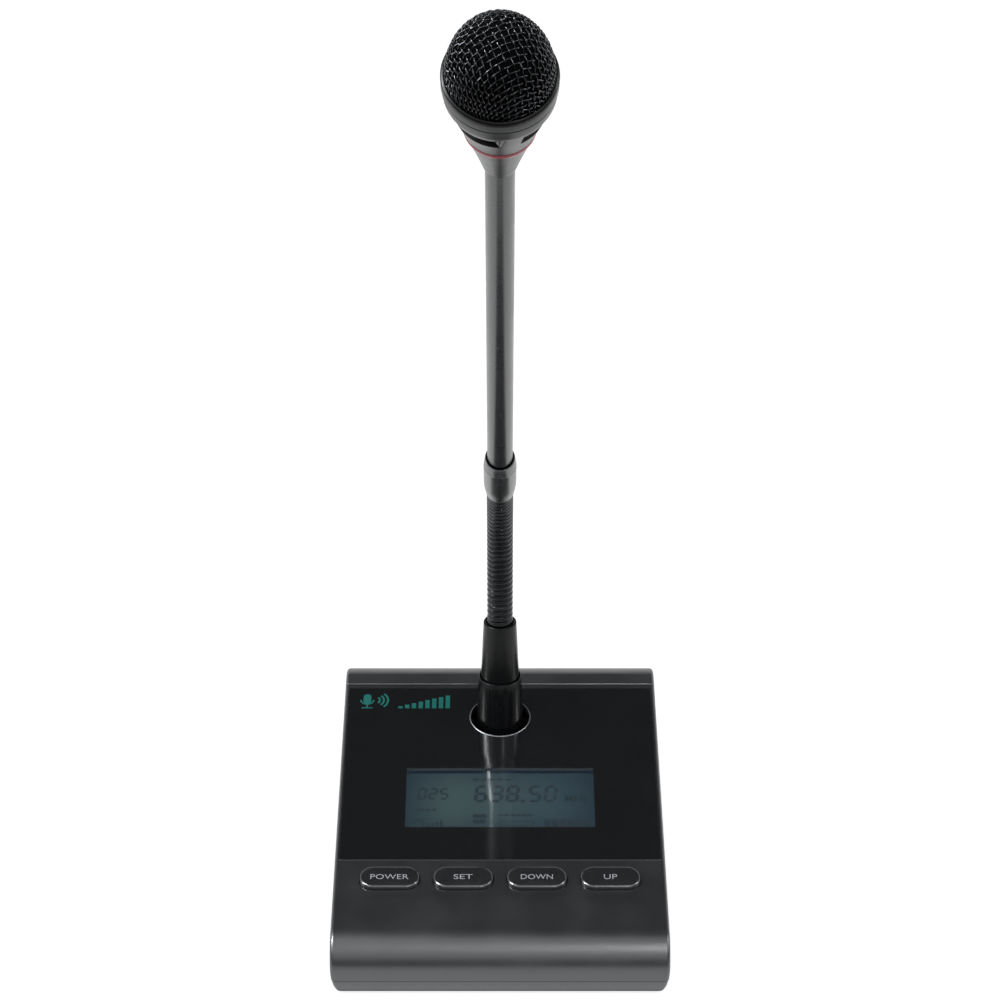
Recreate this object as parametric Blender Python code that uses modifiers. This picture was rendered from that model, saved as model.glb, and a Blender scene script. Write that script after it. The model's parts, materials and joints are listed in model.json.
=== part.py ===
"""A wireless gooseneck podium microphone, as an assembly of separate pieces.

A sloping desktop base holds a display, four keys, the boards, the battery and a weight. A flexible neck
and a straight stem stand in a collar near its rear edge and carry the microphone head, leaning forward.
Units are metres, +Z is up and the keys face -Y. The origin is on the table, under the middle of the
whole object's box.
"""

import math

import bmesh
import bpy
from mathutils import Matrix, Vector

OBJECT_NAME = "podium_microphone"
GAP = 0.0003  # between neighbouring pieces

# Base: a sloping flat top with rounded front and rear edges, seen from the side.
BASE_WIDTH = 0.120
TOP_SLOPE = math.radians(8.0)
FLAT_FRONT = Vector((0.0, -0.03328, 0.0213))  # front end of the flat top
FLAT_LENGTH = 0.1379
FRONT_RADIUS = 0.013
REAR_RADIUS = 0.014
SIDE_EDGE_RADIUS = 0.0014
WALL = 0.0024
TOP_WALL = 0.0034
UNDERSIDE_Z = 0.0012
SEAM_Z = 0.0061
TRAY_FLOOR = 0.0020
TRAY_INSET = 0.0002
TRAY_DRAFT = 0.0009

# Features of the flat top: x across, s along the slope from its front end, n out of the surface.
PANEL_WIDTH = 0.117
PANEL_S = (0.0346, 0.1331)
PANEL_THICKNESS = 0.0015
PANEL_EDGE = 0.0007
WINDOW_WIDTH = 0.070
WINDOW_S = (0.0521, 0.0845)
KEY_SIZE = (0.0216, 0.0114)
KEY_CORNER = 0.0050
KEY_PITCH = 0.0265
KEY_S = 0.0250
KEY_PROUD = 0.0009
KEY_DEPTH = 0.0046
KEY_FLANGE = 0.0009  # how far the flange stands out under the shell
KEY_NAMES = ("power", "set", "down", "up")
NECK_S = 0.1139
NECK_HOLE_RADIUS = 0.0116

# Stem: everything stands on the vertical axis through the hole, then bends forward.
COLLAR_TOP = 0.0190  # above the flat top, at the axis
CONE_TOP = 0.0428
NECK_LENGTH = 0.0677
NECK_RADIUS = 0.00485
NECK_BORE = 0.0022
NECK_SEGMENTS = 10
NECK_FINE_STEPS = 40  # steps of the neck's curve along each segment
STEM_LEAN = math.radians(36.5)
LEAN_POWER = 1.586  # how the lean grows along the neck
BEND_ROOM = math.radians(9.0)  # slope of each segment's ends
AXIS_ROOM = 0.0002
FERRULE_LENGTH = 0.0284
TUBE_RADIUS = 0.0045
TUBE_WALL = 0.0008
TUBE_VISIBLE = 0.1991
TUBE_IN_FERRULE = 0.018

# Head, measured along the stem from the end of the tube.
CONE_START = 0.0050
CONE_SLOPE = 0.2264
CONE_CURVE = 1.337
CONE_END = 0.0390
HEAD_WALL = 0.0020
RED_RING = (0.0198, 0.0222)
VENT_SPAN = (0.0307, 0.0373)
VENT_COUNT = 4
VENT_BRIDGE = math.radians(26.0)
RIM_END = 0.0473
GROOVE = 0.0439
GRILLE_RING_BORE = 0.0150
SEAT_RING_RADIUS = 0.0168
SEAT_RING_HEIGHT = 0.0013
DOME_RADIUS = 0.0158  # the grille is egg-shaped: half an ellipse, turned about the stem's axis
DOME_HEIGHT = 0.0210
DOME_CENTRE = 0.0491
GRILLE_THICKNESS = 0.0008
LINING_THICKNESS = 0.0012
LINING_FOOT = 0.0470

# Underside, with y counted from the front end of the flat top.
FOOT_PLACES = ((-0.048, 0.026), (0.048, 0.026), (-0.048, 0.141), (0.048, 0.141))
FOOT_RADIUS = 0.0055
SCREW_PLACES = ((-0.0505, 0.0085), (0.0505, 0.0085), (-0.0505, 0.122), (0.0505, 0.122))
CORNER_NAMES = ("front_left", "front_right", "rear_left", "rear_right")
DOOR_WIDTH = 0.060
DOOR_FRONT = 0.1060
DOOR_THICKNESS = 0.0016
BAY_SIZE = (0.055, 0.032)
BAY_CENTRE_Y = 0.1262
CELL_RADIUS = 0.00725
CELL_LENGTH = 0.0505

COLOURS = {
    "charcoal_plastic": ((0.035, 0.038, 0.042), 0.55, 0.0),
    "black_acrylic": ((0.010, 0.011, 0.012), 0.08, 0.0),
    "key_plastic": ((0.032, 0.034, 0.038), 0.45, 0.0),
    "display_glass": ((0.150, 0.300, 0.300), 0.15, 0.0),
    "black_metal": ((0.014, 0.015, 0.016), 0.30, 0.0),
    "black_rubber": ((0.012, 0.012, 0.013), 0.70, 0.0),
    "charcoal_metal": ((0.060, 0.062, 0.065), 0.38, 0.6),
    "red_ring": ((0.450, 0.015, 0.030), 0.30, 0.0),
    "wire_mesh": ((0.020, 0.021, 0.022), 0.25, 0.9),
    "foam": ((0.006, 0.006, 0.006), 0.95, 0.0),
    "board_green": ((0.020, 0.120, 0.050), 0.50, 0.0),
    "bright_steel": ((0.550, 0.560, 0.570), 0.30, 1.0),
    "brass": ((0.600, 0.430, 0.180), 0.30, 1.0),
    "cell_wrap": ((0.040, 0.120, 0.280), 0.35, 0.0),
    "holder_plastic": ((0.020, 0.020, 0.021), 0.60, 0.0),
}


def clear_scene():
    for obj in list(bpy.data.objects):
        bpy.data.objects.remove(obj, do_unlink=True)


def new_collection(name, hidden=False):
    collection = bpy.data.collections.new(name)
    collection.hide_render = hidden
    bpy.context.scene.collection.children.link(collection)
    return collection


def make_materials():
    made = {}
    for name, (colour, roughness, metallic) in COLOURS.items():
        material = bpy.data.materials.new(name)
        material.use_nodes = True
        shader = material.node_tree.nodes["Principled BSDF"]
        shader.inputs["Base Color"].default_value = (*colour, 1.0)
        shader.inputs["Roughness"].default_value = roughness
        shader.inputs["Metallic"].default_value = metallic
        made[name] = material
    return made


clear_scene()
PIECES = new_collection(OBJECT_NAME)
CUTTERS = new_collection("cutters", hidden=True)
MATERIALS = make_materials()


def add_piece(name, mesh, material, parent=None, matrix=None):
    """Adds a mesh as one named piece, placed by matrix under its parent."""
    obj = bpy.data.objects.new(name, mesh)
    mesh.materials.append(MATERIALS[material])
    PIECES.objects.link(obj)
    obj.parent = parent
    obj.matrix_basis = matrix or Matrix()
    return obj


def add_helper(name, mesh, parent=None, matrix=None):
    """Adds a mesh that only cuts or thickens a piece."""
    obj = bpy.data.objects.new(name, mesh)
    obj.hide_render = True
    obj.display_type = "WIRE"
    CUTTERS.objects.link(obj)
    obj.parent = parent
    obj.matrix_basis = matrix or Matrix()
    return obj


def add_empty(name, parent=None, matrix=None):
    empty = bpy.data.objects.new(name, None)
    empty.empty_display_size = 0.01
    PIECES.objects.link(empty)
    empty.parent = parent
    empty.matrix_basis = matrix or Matrix()
    return empty


def combine(obj, helper, operation):
    modifier = obj.modifiers.new(helper.name, "BOOLEAN")
    modifier.operation = operation
    modifier.solver = "EXACT"
    modifier.object = helper


def mesh_from(bm, name):
    bmesh.ops.recalc_face_normals(bm, faces=bm.faces)
    mesh = bpy.data.meshes.new(name)
    bm.to_mesh(mesh)
    bm.free()
    mesh.shade_smooth()
    mesh.set_sharp_from_angle(angle=math.radians(35.0))
    return mesh


def box_mesh(name, low, high, bevel=0.0):
    """A box between two corners, with rounded edges where bevel is given."""
    low, high = Vector(low), Vector(high)
    bm = bmesh.new()
    place = Matrix.Translation((low + high) / 2) @ Matrix.Diagonal((*(high - low), 1.0))
    bmesh.ops.create_cube(bm, size=1.0, matrix=place)
    if bevel:
        bmesh.ops.bevel(bm, geom=bm.edges[:], offset=bevel, segments=2, profile=0.5, affect="EDGES")
    return mesh_from(bm, name)


def rod_mesh(name, radius, low, high, centre=(0.0, 0.0), sides=16):
    """A cylinder along Z between two heights."""
    bm = bmesh.new()
    place = Matrix.Translation((*centre, (low + high) / 2))
    bmesh.ops.create_cone(
        bm, cap_ends=True, segments=sides, radius1=radius, radius2=radius, depth=high - low, matrix=place
    )
    return mesh_from(bm, name)


def prism_mesh(name, outline, low, high, bevel=0.0):
    """A flat outline of (x, y) points, raised along Z, with its upper edge rounded where bevel is given."""
    bm = bmesh.new()
    face = bm.faces.new([bm.verts.new((x, y, low)) for x, y in outline])
    raised = bmesh.ops.extrude_face_region(bm, geom=[face])
    top = [item for item in raised["geom"] if isinstance(item, bmesh.types.BMVert)]
    bmesh.ops.translate(bm, verts=top, vec=(0.0, 0.0, high - low))
    if bevel:
        rim = [edge for edge in bm.edges if all(vert in top for vert in edge.verts)]
        bmesh.ops.bevel(bm, geom=rim, offset=bevel, segments=3, profile=0.5, affect="EDGES")
    return mesh_from(bm, name)


def add_turned(name, profile, material, parent=None, matrix=None, steps=24):
    """Turns (radius, height) points about Z. They run down the outer side and back up a ring's bore."""
    closed = all(radius > 0 for radius, _ in profile)
    mesh = bpy.data.meshes.new(name)
    edges = [(i, i + 1) for i in range(len(profile) - 1)]
    if closed:
        edges.append((len(profile) - 1, 0))
    mesh.from_pydata([(radius, 0.0, height) for radius, height in profile], edges, [])
    obj = add_piece(name, mesh, material, parent, matrix)
    screw = obj.modifiers.new("turn", "SCREW")
    screw.steps = screw.render_steps = steps
    screw.use_merge_vertices = True
    screw.merge_threshold = 0.00001
    screw.use_smooth_shade = True
    return obj


def arc(centre, radius, start, end, count):
    """Points of an arc, from one angle to another."""
    angles = (start + (end - start) * i / count for i in range(count + 1))
    return [(centre[0] + radius * math.cos(a), centre[1] + radius * math.sin(a)) for a in angles]


def rounded_rectangle(width, height, radius, centre=(0.0, 0.0), count=4):
    points = []
    for quarter, (side_x, side_y) in enumerate(((1, 1), (-1, 1), (-1, -1), (1, -1))):
        corner = (
            centre[0] + side_x * (width / 2 - radius),
            centre[1] + side_y * (height / 2 - radius),
        )
        start = quarter * math.pi / 2
        points += arc(corner, radius, start, start + math.pi / 2, count)
    return points


# ---------------------------------------------------------------- places shared by several pieces

SURFACE_NORMAL = Vector((0.0, -math.sin(TOP_SLOPE), math.cos(TOP_SLOPE)))
FLAT_REAR = FLAT_FRONT + FLAT_LENGTH * Vector((0.0, math.cos(TOP_SLOPE), math.sin(TOP_SLOPE)))
FRONT_CENTRE = FLAT_FRONT - FRONT_RADIUS * SURFACE_NORMAL
REAR_CENTRE = FLAT_REAR - REAR_RADIUS * SURFACE_NORMAL
FRONT_Y = FRONT_CENTRE.y - FRONT_RADIUS
REAR_Y = REAR_CENTRE.y + REAR_RADIUS


def flat_z(y_from_front):
    """Height of the flat top at a distance behind its front end."""
    return FLAT_FRONT.z + y_from_front * math.tan(TOP_SLOPE)


def world_y(y_from_front):
    return FLAT_FRONT.y + y_from_front


NECK_Y_FROM_FRONT = NECK_S * math.cos(TOP_SLOPE)
NECK_ROOT = Vector((0.0, world_y(NECK_Y_FROM_FRONT), flat_z(NECK_Y_FROM_FRONT)))
BRACKET_Z = NECK_ROOT.z - 0.0102  # underside of the steel bracket
BRACKET_THICKNESS = 0.0020
BRACKET_BOSS_X = 0.0195

DECK = add_empty(
    "deck", matrix=Matrix.Translation(FLAT_FRONT) @ Matrix.Rotation(TOP_SLOPE, 4, "X")
)
COLUMN = add_empty("column", matrix=Matrix.Translation(NECK_ROOT))


# ---------------------------------------------------------------- casing

def side_outline(inset, low):
    """(y, z) points of the base seen from the side, from the front seam over the top to the rear seam."""
    upright = math.pi / 2 + TOP_SLOPE
    front = arc((FRONT_CENTRE.y, FRONT_CENTRE.z), FRONT_RADIUS - inset, math.pi, upright, 10)
    rear = arc((REAR_CENTRE.y, REAR_CENTRE.z), REAR_RADIUS - inset, upright, 0.0, 12)
    return [(front[0][0], low), *front, *rear, (rear[-1][0], low)]


def lowered(points, depth):
    """The points, with none nearer than depth to the flat top's plane."""
    kept = []
    for y, z in points:
        offset = Vector((0.0, y, z)) - FLAT_FRONT
        excess = max(0.0, offset.dot(SURFACE_NORMAL) + depth)
        kept.append((y - excess * SURFACE_NORMAL.y, z - excess * SURFACE_NORMAL.z))
    return kept


def base_block(name, outline, half_width, bevel=0.0):
    """The side outline, as wide as the base. Its two side edges are rounded where bevel is given."""
    low = outline[0][1]
    bm = bmesh.new()
    face = bm.faces.new([bm.verts.new((-half_width, y, z)) for y, z in outline])
    raised = bmesh.ops.extrude_face_region(bm, geom=[face])
    far = [item for item in raised["geom"] if isinstance(item, bmesh.types.BMVert)]
    bmesh.ops.translate(bm, verts=far, vec=(2 * half_width, 0.0, 0.0))
    if bevel:
        rim = [
            edge
            for edge in bm.edges
            if abs(edge.verts[0].co.x - edge.verts[1].co.x) < 1e-6
            and max(vert.co.z for vert in edge.verts) > low + 1e-6
        ]
        bmesh.ops.bevel(bm, geom=rim, offset=bevel, segments=3, profile=0.5, affect="EDGES")
    return mesh_from(bm, name)


def cut_top_shell_openings(shell):
    low, high = PANEL_S[0] - GAP, PANEL_S[1] + GAP
    half = PANEL_WIDTH / 2 + GAP
    recess = box_mesh("panel_recess", (-half, low, -PANEL_THICKNESS - GAP), (half, high, 0.005))
    combine(shell, add_helper("panel_recess", recess, DECK), "DIFFERENCE")
    half = WINDOW_WIDTH / 2 + 0.0020
    low, high = WINDOW_S[0] - 0.0020, WINDOW_S[1] + 0.0020
    window = box_mesh("display_window", (-half, low, -0.010), (half, high, 0.005))
    combine(shell, add_helper("display_window", window, DECK), "DIFFERENCE")
    hole = rod_mesh("neck_hole", NECK_HOLE_RADIUS, -0.010, 0.005, (0.0, NECK_S), 40)
    combine(shell, add_helper("neck_hole", hole, DECK), "DIFFERENCE")
    for index, name in enumerate(KEY_NAMES):
        outline = rounded_rectangle(
            KEY_SIZE[0] + 2 * GAP, KEY_SIZE[1] + 2 * GAP, KEY_CORNER + GAP, (key_x(index), KEY_S)
        )
        cutter = add_helper(f"key_hole_{name}", prism_mesh("key_hole", outline, -0.008, 0.005), DECK)
        combine(shell, cutter, "DIFFERENCE")


def add_top_shell():
    outline = side_outline(0.0, SEAM_Z + GAP / 2)
    block = base_block("top_shell", outline, BASE_WIDTH / 2, SIDE_EDGE_RADIUS)
    shell = add_piece("top_shell", block, "charcoal_plastic")
    cavity = lowered(side_outline(WALL, SEAM_Z - 0.005), TOP_WALL)
    hollow = add_helper("top_cavity", base_block("top_cavity", cavity, BASE_WIDTH / 2 - WALL))
    combine(shell, hollow, "DIFFERENCE")
    for name, (x, y) in zip(CORNER_NAMES, SCREW_PLACES):
        top = flat_z(y) - 0.0022
        post = rod_mesh("post", 0.0035, 0.0049, top, (x, world_y(y)))
        combine(shell, add_helper(f"post_{name}", post), "UNION")
        pilot = rod_mesh("pilot", 0.0015, 0.0, 0.0160, (x, world_y(y)), 16)
        combine(shell, add_helper(f"pilot_{name}", pilot), "DIFFERENCE")
    for side in (-1, 1):
        top = NECK_ROOT.z - 0.0022
        low = BRACKET_Z + BRACKET_THICKNESS + GAP
        boss = rod_mesh("boss", 0.0030, low, top, (side * BRACKET_BOSS_X, NECK_ROOT.y), 20)
        combine(shell, add_helper(f"bracket_boss_{side}", boss), "UNION")
    cut_top_shell_openings(shell)


def tray_mesh():
    """The outer form of the bottom shell, a little narrower at its foot, with rounded corners."""
    half, top = BASE_WIDTH / 2 - TRAY_INSET, SEAM_Z - GAP / 2
    low = (-half, FRONT_Y + TRAY_INSET, UNDERSIDE_Z)
    high = (half, REAR_Y - TRAY_INSET, top)
    centre_y = (FRONT_Y + REAR_Y) / 2
    bm = bmesh.new()
    size = Vector(high) - Vector(low)
    place = Matrix.Translation((Vector(high) + Vector(low)) / 2) @ Matrix.Diagonal((*size, 1.0))
    bmesh.ops.create_cube(bm, size=1.0, matrix=place)
    for vert in bm.verts:
        if vert.co.z < SEAM_Z - 0.002:
            vert.co.x -= math.copysign(TRAY_DRAFT, vert.co.x)
            vert.co.y -= math.copysign(TRAY_DRAFT, vert.co.y - centre_y)
    corners = [edge for edge in bm.edges if abs(edge.verts[0].co.z - edge.verts[1].co.z) > 0.001]
    bmesh.ops.bevel(bm, geom=corners, offset=0.0022, segments=4, profile=0.5, affect="EDGES")
    foot = [edge for edge in bm.edges if max(vert.co.z for vert in edge.verts) < UNDERSIDE_Z + 1e-5]
    bmesh.ops.bevel(bm, geom=foot, offset=0.0010, segments=3, profile=0.5, affect="EDGES")
    return mesh_from(bm, "bottom_shell")


def add_bottom_shell():
    shell = add_piece("bottom_shell", tray_mesh(), "charcoal_plastic")
    floor = UNDERSIDE_Z + TRAY_FLOOR
    inner = BASE_WIDTH / 2 - WALL - TRAY_INSET - TRAY_DRAFT
    front, rear = FRONT_Y + WALL + TRAY_DRAFT, REAR_Y - WALL - TRAY_DRAFT
    cavity = box_mesh("tray_cavity", (-inner, front, floor), (inner, rear, 0.020))
    combine(shell, add_helper("tray_cavity", cavity), "DIFFERENCE")
    frame_half = DOOR_WIDTH / 2 + 0.0030
    low = (-frame_half, world_y(DOOR_FRONT) - 0.0020, UNDERSIDE_Z + 0.0015)
    frame = box_mesh("door_frame", low, (frame_half, rear + 0.0005, 0.0049))
    combine(shell, add_helper("door_frame", frame), "UNION")
    for name, (x, y) in zip(CORNER_NAMES, SCREW_PLACES):
        boss = rod_mesh("screw_boss", 0.0046, floor - 0.0010, 0.0046, (x, world_y(y)))
        combine(shell, add_helper(f"screw_boss_{name}", boss), "UNION")
        hole = rod_mesh("screw_hole", 0.0015, -0.002, 0.010, (x, world_y(y)), 16)
        combine(shell, add_helper(f"screw_hole_{name}", hole), "DIFFERENCE")
        seat = rod_mesh("screw_seat", 0.0033, -0.002, 0.0034, (x, world_y(y)))
        combine(shell, add_helper(f"screw_seat_{name}", seat), "DIFFERENCE")
    for name, (x, y) in zip(CORNER_NAMES, FOOT_PLACES):
        seat = rod_mesh("foot_seat", FOOT_RADIUS + GAP, -0.002, UNDERSIDE_Z + 0.0008, (x, world_y(y)))
        combine(shell, add_helper(f"foot_seat_{name}", seat), "DIFFERENCE")
    half = DOOR_WIDTH / 2
    high = (half, REAR_Y + 0.010, UNDERSIDE_Z + DOOR_THICKNESS + GAP)
    slot = box_mesh("door_slot", (-half, world_y(DOOR_FRONT) - GAP, -0.005), high)
    combine(shell, add_helper("door_slot", slot), "DIFFERENCE")
    centre = Vector((0.0, world_y(BAY_CENTRE_Y), 0.0))
    reach = Vector((BAY_SIZE[0] / 2, BAY_SIZE[1] / 2, 0.0))
    bay = box_mesh("bay", centre - reach - Vector((0, 0, 0.005)), centre + reach + Vector((0, 0, 0.01)))
    combine(shell, add_helper("bay", bay), "DIFFERENCE")


def add_battery_door():
    half = DOOR_WIDTH / 2 - GAP
    high = (half, REAR_Y - TRAY_INSET - TRAY_DRAFT, UNDERSIDE_Z + DOOR_THICKNESS)
    mesh = box_mesh("battery_door", (-half, world_y(DOOR_FRONT), UNDERSIDE_Z), high)
    door = add_piece("battery_door", mesh, "charcoal_plastic")
    for index in range(3):
        y = world_y(DOOR_FRONT + 0.0060 + 0.0030 * index)
        low_corner = (-0.010, y, UNDERSIDE_Z - 0.001)
        ridge = box_mesh("grip", low_corner, (0.010, y + 0.0012, UNDERSIDE_Z + 0.0005))
        combine(door, add_helper(f"grip_groove_{index}", ridge), "DIFFERENCE")


def add_feet_and_screws():
    for name, (x, y) in zip(CORNER_NAMES, FOOT_PLACES):
        top = UNDERSIDE_Z + 0.0008 - GAP
        profile = [(0.0, top), (FOOT_RADIUS, top), (FOOT_RADIUS, 0.0004)]
        profile += [(FOOT_RADIUS - 0.0004, 0.0), (0.0, 0.0)]
        place = Matrix.Translation((x, world_y(y), 0.0))
        add_turned(f"foot_{name}", profile, "black_rubber", matrix=place, steps=24)
    for name, (x, y) in zip(CORNER_NAMES, SCREW_PLACES):
        head, shank = 0.0029, 0.0012
        profile = [(0.0, 0.0140), (shank - 0.0004, 0.0140), (shank, 0.0130), (shank, 0.0031)]
        profile += [(head, 0.0031), (head, 0.0017), (head - 0.0004, 0.0014), (0.0, 0.0014)]
        place = Matrix.Translation((x, world_y(y), 0.0))
        screw = add_turned(f"screw_{name}", profile, "bright_steel", matrix=place, steps=16)
        for turn in range(2):
            arm = box_mesh("cross", (-0.0016, -0.0003, 0.0), (0.0016, 0.0003, 0.0022))
            spin = place @ Matrix.Rotation(turn * math.pi / 2, 4, "Z")
            combine(screw, add_helper(f"cross_{name}_{turn}", arm, matrix=spin), "DIFFERENCE")


# ---------------------------------------------------------------- panel, display and keys

def key_x(index):
    return (index - (len(KEY_NAMES) - 1) / 2) * KEY_PITCH


def add_display_panel():
    width, low, high = PANEL_WIDTH, PANEL_S[0], PANEL_S[1]
    outline = rounded_rectangle(width, high - low, 0.0008, (0.0, (low + high) / 2), 2)
    mesh = prism_mesh("display_panel", outline, -PANEL_THICKNESS, 0.0, PANEL_EDGE)
    panel = add_piece("display_panel", mesh, "black_acrylic", DECK)
    hole = rod_mesh("panel_hole", NECK_HOLE_RADIUS, -0.010, 0.005, (0.0, NECK_S), 40)
    combine(panel, add_helper("panel_hole", hole, DECK), "DIFFERENCE")


def add_display():
    """The display module in its metal frame, under the clear window of the panel."""
    half, low, high = WINDOW_WIDTH / 2 + 0.0016, WINDOW_S[0] - 0.0017, WINDOW_S[1] + 0.0017
    glass = box_mesh("lcd_glass", (-half, low, -0.0062), (half, high, -0.0021))
    add_piece("lcd_glass", glass, "display_glass", DECK)
    rim = 0.0027
    outer = box_mesh("lcd_frame", (-half - rim, low - rim, -0.0082), (half + rim, high + rim, -0.0038))
    frame = add_piece("lcd_frame", outer, "bright_steel", DECK)
    inner = box_mesh("frame_seat", (-half - GAP, low - GAP, -0.0065), (half + GAP, high + GAP, 0.0))
    combine(frame, add_helper("frame_seat", inner, DECK), "DIFFERENCE")


def add_keys():
    """Each key is a cap with a flange under the shell, a plunger below it and the switch that it works."""
    for index, name in enumerate(KEY_NAMES):
        place = Matrix.Translation((key_x(index), KEY_S, 0.0))
        outline = rounded_rectangle(*KEY_SIZE, KEY_CORNER)
        cap_mesh = prism_mesh("key", outline, -KEY_DEPTH, KEY_PROUD, 0.0007)
        cap = add_piece(f"button_{name}", cap_mesh, "key_plastic", DECK, place)
        size = (KEY_SIZE[0] + 2 * KEY_FLANGE, KEY_SIZE[1] + 2 * KEY_FLANGE)
        outline = rounded_rectangle(*size, KEY_CORNER + KEY_FLANGE, count=3)
        flange = prism_mesh("flange", outline, -KEY_DEPTH - 0.0001, -TOP_WALL - 0.00035)
        combine(cap, add_helper(f"flange_{name}", flange, DECK, place), "UNION")
        plunger = [(0.0, -0.0050), (0.0016, -0.0050), (0.0016, -0.0075), (0.0, -0.0075)]
        add_turned(f"plunger_{name}", plunger, "holder_plastic", DECK, place, steps=16)
        housing = box_mesh("switch", (-0.0031, -0.0031, -0.0097), (0.0031, 0.0031, -0.0063))
        switch = add_piece(f"switch_{name}", housing, "holder_plastic", DECK, place)
        bore = rod_mesh("switch_bore", 0.0019, -0.0086, 0.0, sides=16)
        combine(switch, add_helper(f"switch_bore_{name}", bore, DECK, place), "DIFFERENCE")


def add_boards():
    button_board = box_mesh("button_board", (-0.046, 0.012, -0.0116), (0.046, 0.038, -0.0100))
    add_piece("button_board", button_board, "board_green", DECK)
    main_board = box_mesh("main_board", (-0.050, 0.044, -0.0102), (0.050, 0.098, -0.0086))
    add_piece("main_board", main_board, "board_green", DECK)
    shield = box_mesh("rf_shield", (-0.044, 0.060, -0.0131), (-0.014, 0.085, -0.0105), 0.0003)
    add_piece("rf_shield", shield, "bright_steel", DECK)


def add_antenna():
    """A quarter-wave wire from the radio along the left side and across the rear."""
    z, left, rear = 0.0265, -0.044, world_y(0.1460)
    turn = 0.006
    points = [(left, world_y(0.100), z)]
    corner = arc((left + turn, rear - turn), turn, math.pi, math.pi / 2, 5)
    points += [(x, y, z) for x, y in corner]
    points.append((0.030, rear, z))
    curve = bpy.data.curves.new("antenna", "CURVE")
    curve.dimensions = "3D"
    curve.bevel_depth = 0.0008
    curve.bevel_resolution = 2
    curve.use_fill_caps = True
    spline = curve.splines.new("POLY")
    spline.points.add(len(points) - 1)
    for point, place in zip(spline.points, points):
        point.co = (*place, 1.0)
    wire = bpy.data.objects.new("antenna", curve)
    curve.materials.append(MATERIALS["brass"])
    PIECES.objects.link(wire)


# ---------------------------------------------------------------- battery and weight

def add_battery():
    centre_y, half_x, half_y = world_y(BAY_CENTRE_Y), BAY_SIZE[0] / 2, BAY_SIZE[1] / 2
    wall, top, low = 0.0012, 0.0214, 0.0052
    outer = box_mesh(
        "battery_holder",
        (-half_x - wall, centre_y - half_y - wall, low),
        (half_x + wall, centre_y + half_y + wall, top),
    )
    holder = add_piece("battery_holder", outer, "holder_plastic")
    inner = box_mesh(
        "holder_room", (-half_x, centre_y - half_y, 0.0), (half_x, centre_y + half_y, top - wall)
    )
    combine(holder, add_helper("holder_room", inner), "DIFFERENCE")
    for name, side in (("front", -1), ("rear", 1)):
        cell_y = centre_y + side * (CELL_RADIUS + 0.0004)
        end, nub = CELL_LENGTH / 2, 0.0010
        profile = [(0.0, end), (0.0026, end), (0.0026, end - nub), (CELL_RADIUS - 0.0004, end - nub)]
        profile += [(CELL_RADIUS, end - nub - 0.0004), (CELL_RADIUS, -end), (0.0, -end)]
        spin = Matrix.Rotation(side * math.pi / 2, 4, "Y")
        place = Matrix.Translation((0.0, cell_y, 0.0036 + CELL_RADIUS)) @ spin
        add_turned(f"battery_{name}", profile, "cell_wrap", matrix=place, steps=24)
    for name, side in (("left", -1), ("right", 1)):
        x = side * (CELL_LENGTH / 2 + 0.0009)
        low_corner = (x - 0.0004, centre_y - 0.0145, 0.0050)
        contact = box_mesh("contact", low_corner, (x + 0.0004, centre_y + 0.0145, 0.0170))
        add_piece(f"battery_contact_{name}", contact, "bright_steel")


def add_ballast():
    low, high = (-0.044, world_y(0.008), 0.0036), (0.044, world_y(0.098), 0.0086)
    mesh = box_mesh("ballast_plate", low, high, 0.0006)
    add_piece("ballast_plate", mesh, "bright_steel")


# ---------------------------------------------------------------- neck

def add_neck_socket():
    """The bracket under the flat top, the threaded bush through it and the ring nut that clamps them."""
    low = (-0.024, NECK_ROOT.y - 0.0123, BRACKET_Z)
    high = (0.024, NECK_ROOT.y + 0.0130, BRACKET_Z + BRACKET_THICKNESS)
    bracket = add_piece("neck_bracket", box_mesh("neck_bracket", low, high), "bright_steel")
    hole = rod_mesh("bracket_hole", 0.0065, low[2] - 0.01, high[2] + 0.01, NECK_ROOT.xy)
    combine(bracket, add_helper("bracket_hole", hole), "DIFFERENCE")
    under, top = BRACKET_Z - NECK_ROOT.z - GAP, 0.0070
    bush = [(0.0062, top), (0.0062, under), (0.0085, under), (0.0085, under - 0.0030)]
    bush += [(0.0040, under - 0.0030), (0.0040, top)]
    add_turned("neck_bush", bush, "brass", COLUMN)
    low, lip, shelf = under + BRACKET_THICKNESS + 2 * GAP, COLLAR_TOP, 0.0078
    collar = [(0.0077, lip), (0.0080, lip - 0.0003), (0.0084, lip - 0.0045), (0.00865, 0.0)]
    collar += [(0.00865, low), (0.0065, low), (0.0065, shelf), (0.0076, shelf), (0.0076, lip - 0.0003)]
    add_turned("collar_nut", collar, "black_metal", COLUMN, steps=32)
    cone = [(0.0058, CONE_TOP), (0.0061, CONE_TOP - 0.0004), (0.00725, COLLAR_TOP), (0.0073, 0.0081)]
    cone += [(0.0030, 0.0081), (0.0030, CONE_TOP - 0.0060), (0.00525, CONE_TOP - 0.0060)]
    cone += [(0.00525, CONE_TOP)]
    add_turned("neck_cone", cone, "black_rubber", COLUMN)


def neck_points(count):
    """Points along the middle of the neck at equal spacing, as it leans from upright to the stem's angle."""
    steps = NECK_FINE_STEPS * count
    place = NECK_ROOT + Vector((0.0, 0.0, CONE_TOP))
    points = [place.copy()]
    for step in range(steps):
        lean = STEM_LEAN * ((step + 0.5) / steps) ** LEAN_POWER
        place += Vector((0.0, -math.sin(lean), math.cos(lean))) * (NECK_LENGTH / steps)
        if (step + 1) % NECK_FINE_STEPS == 0:
            points.append(place.copy())
    return points


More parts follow.
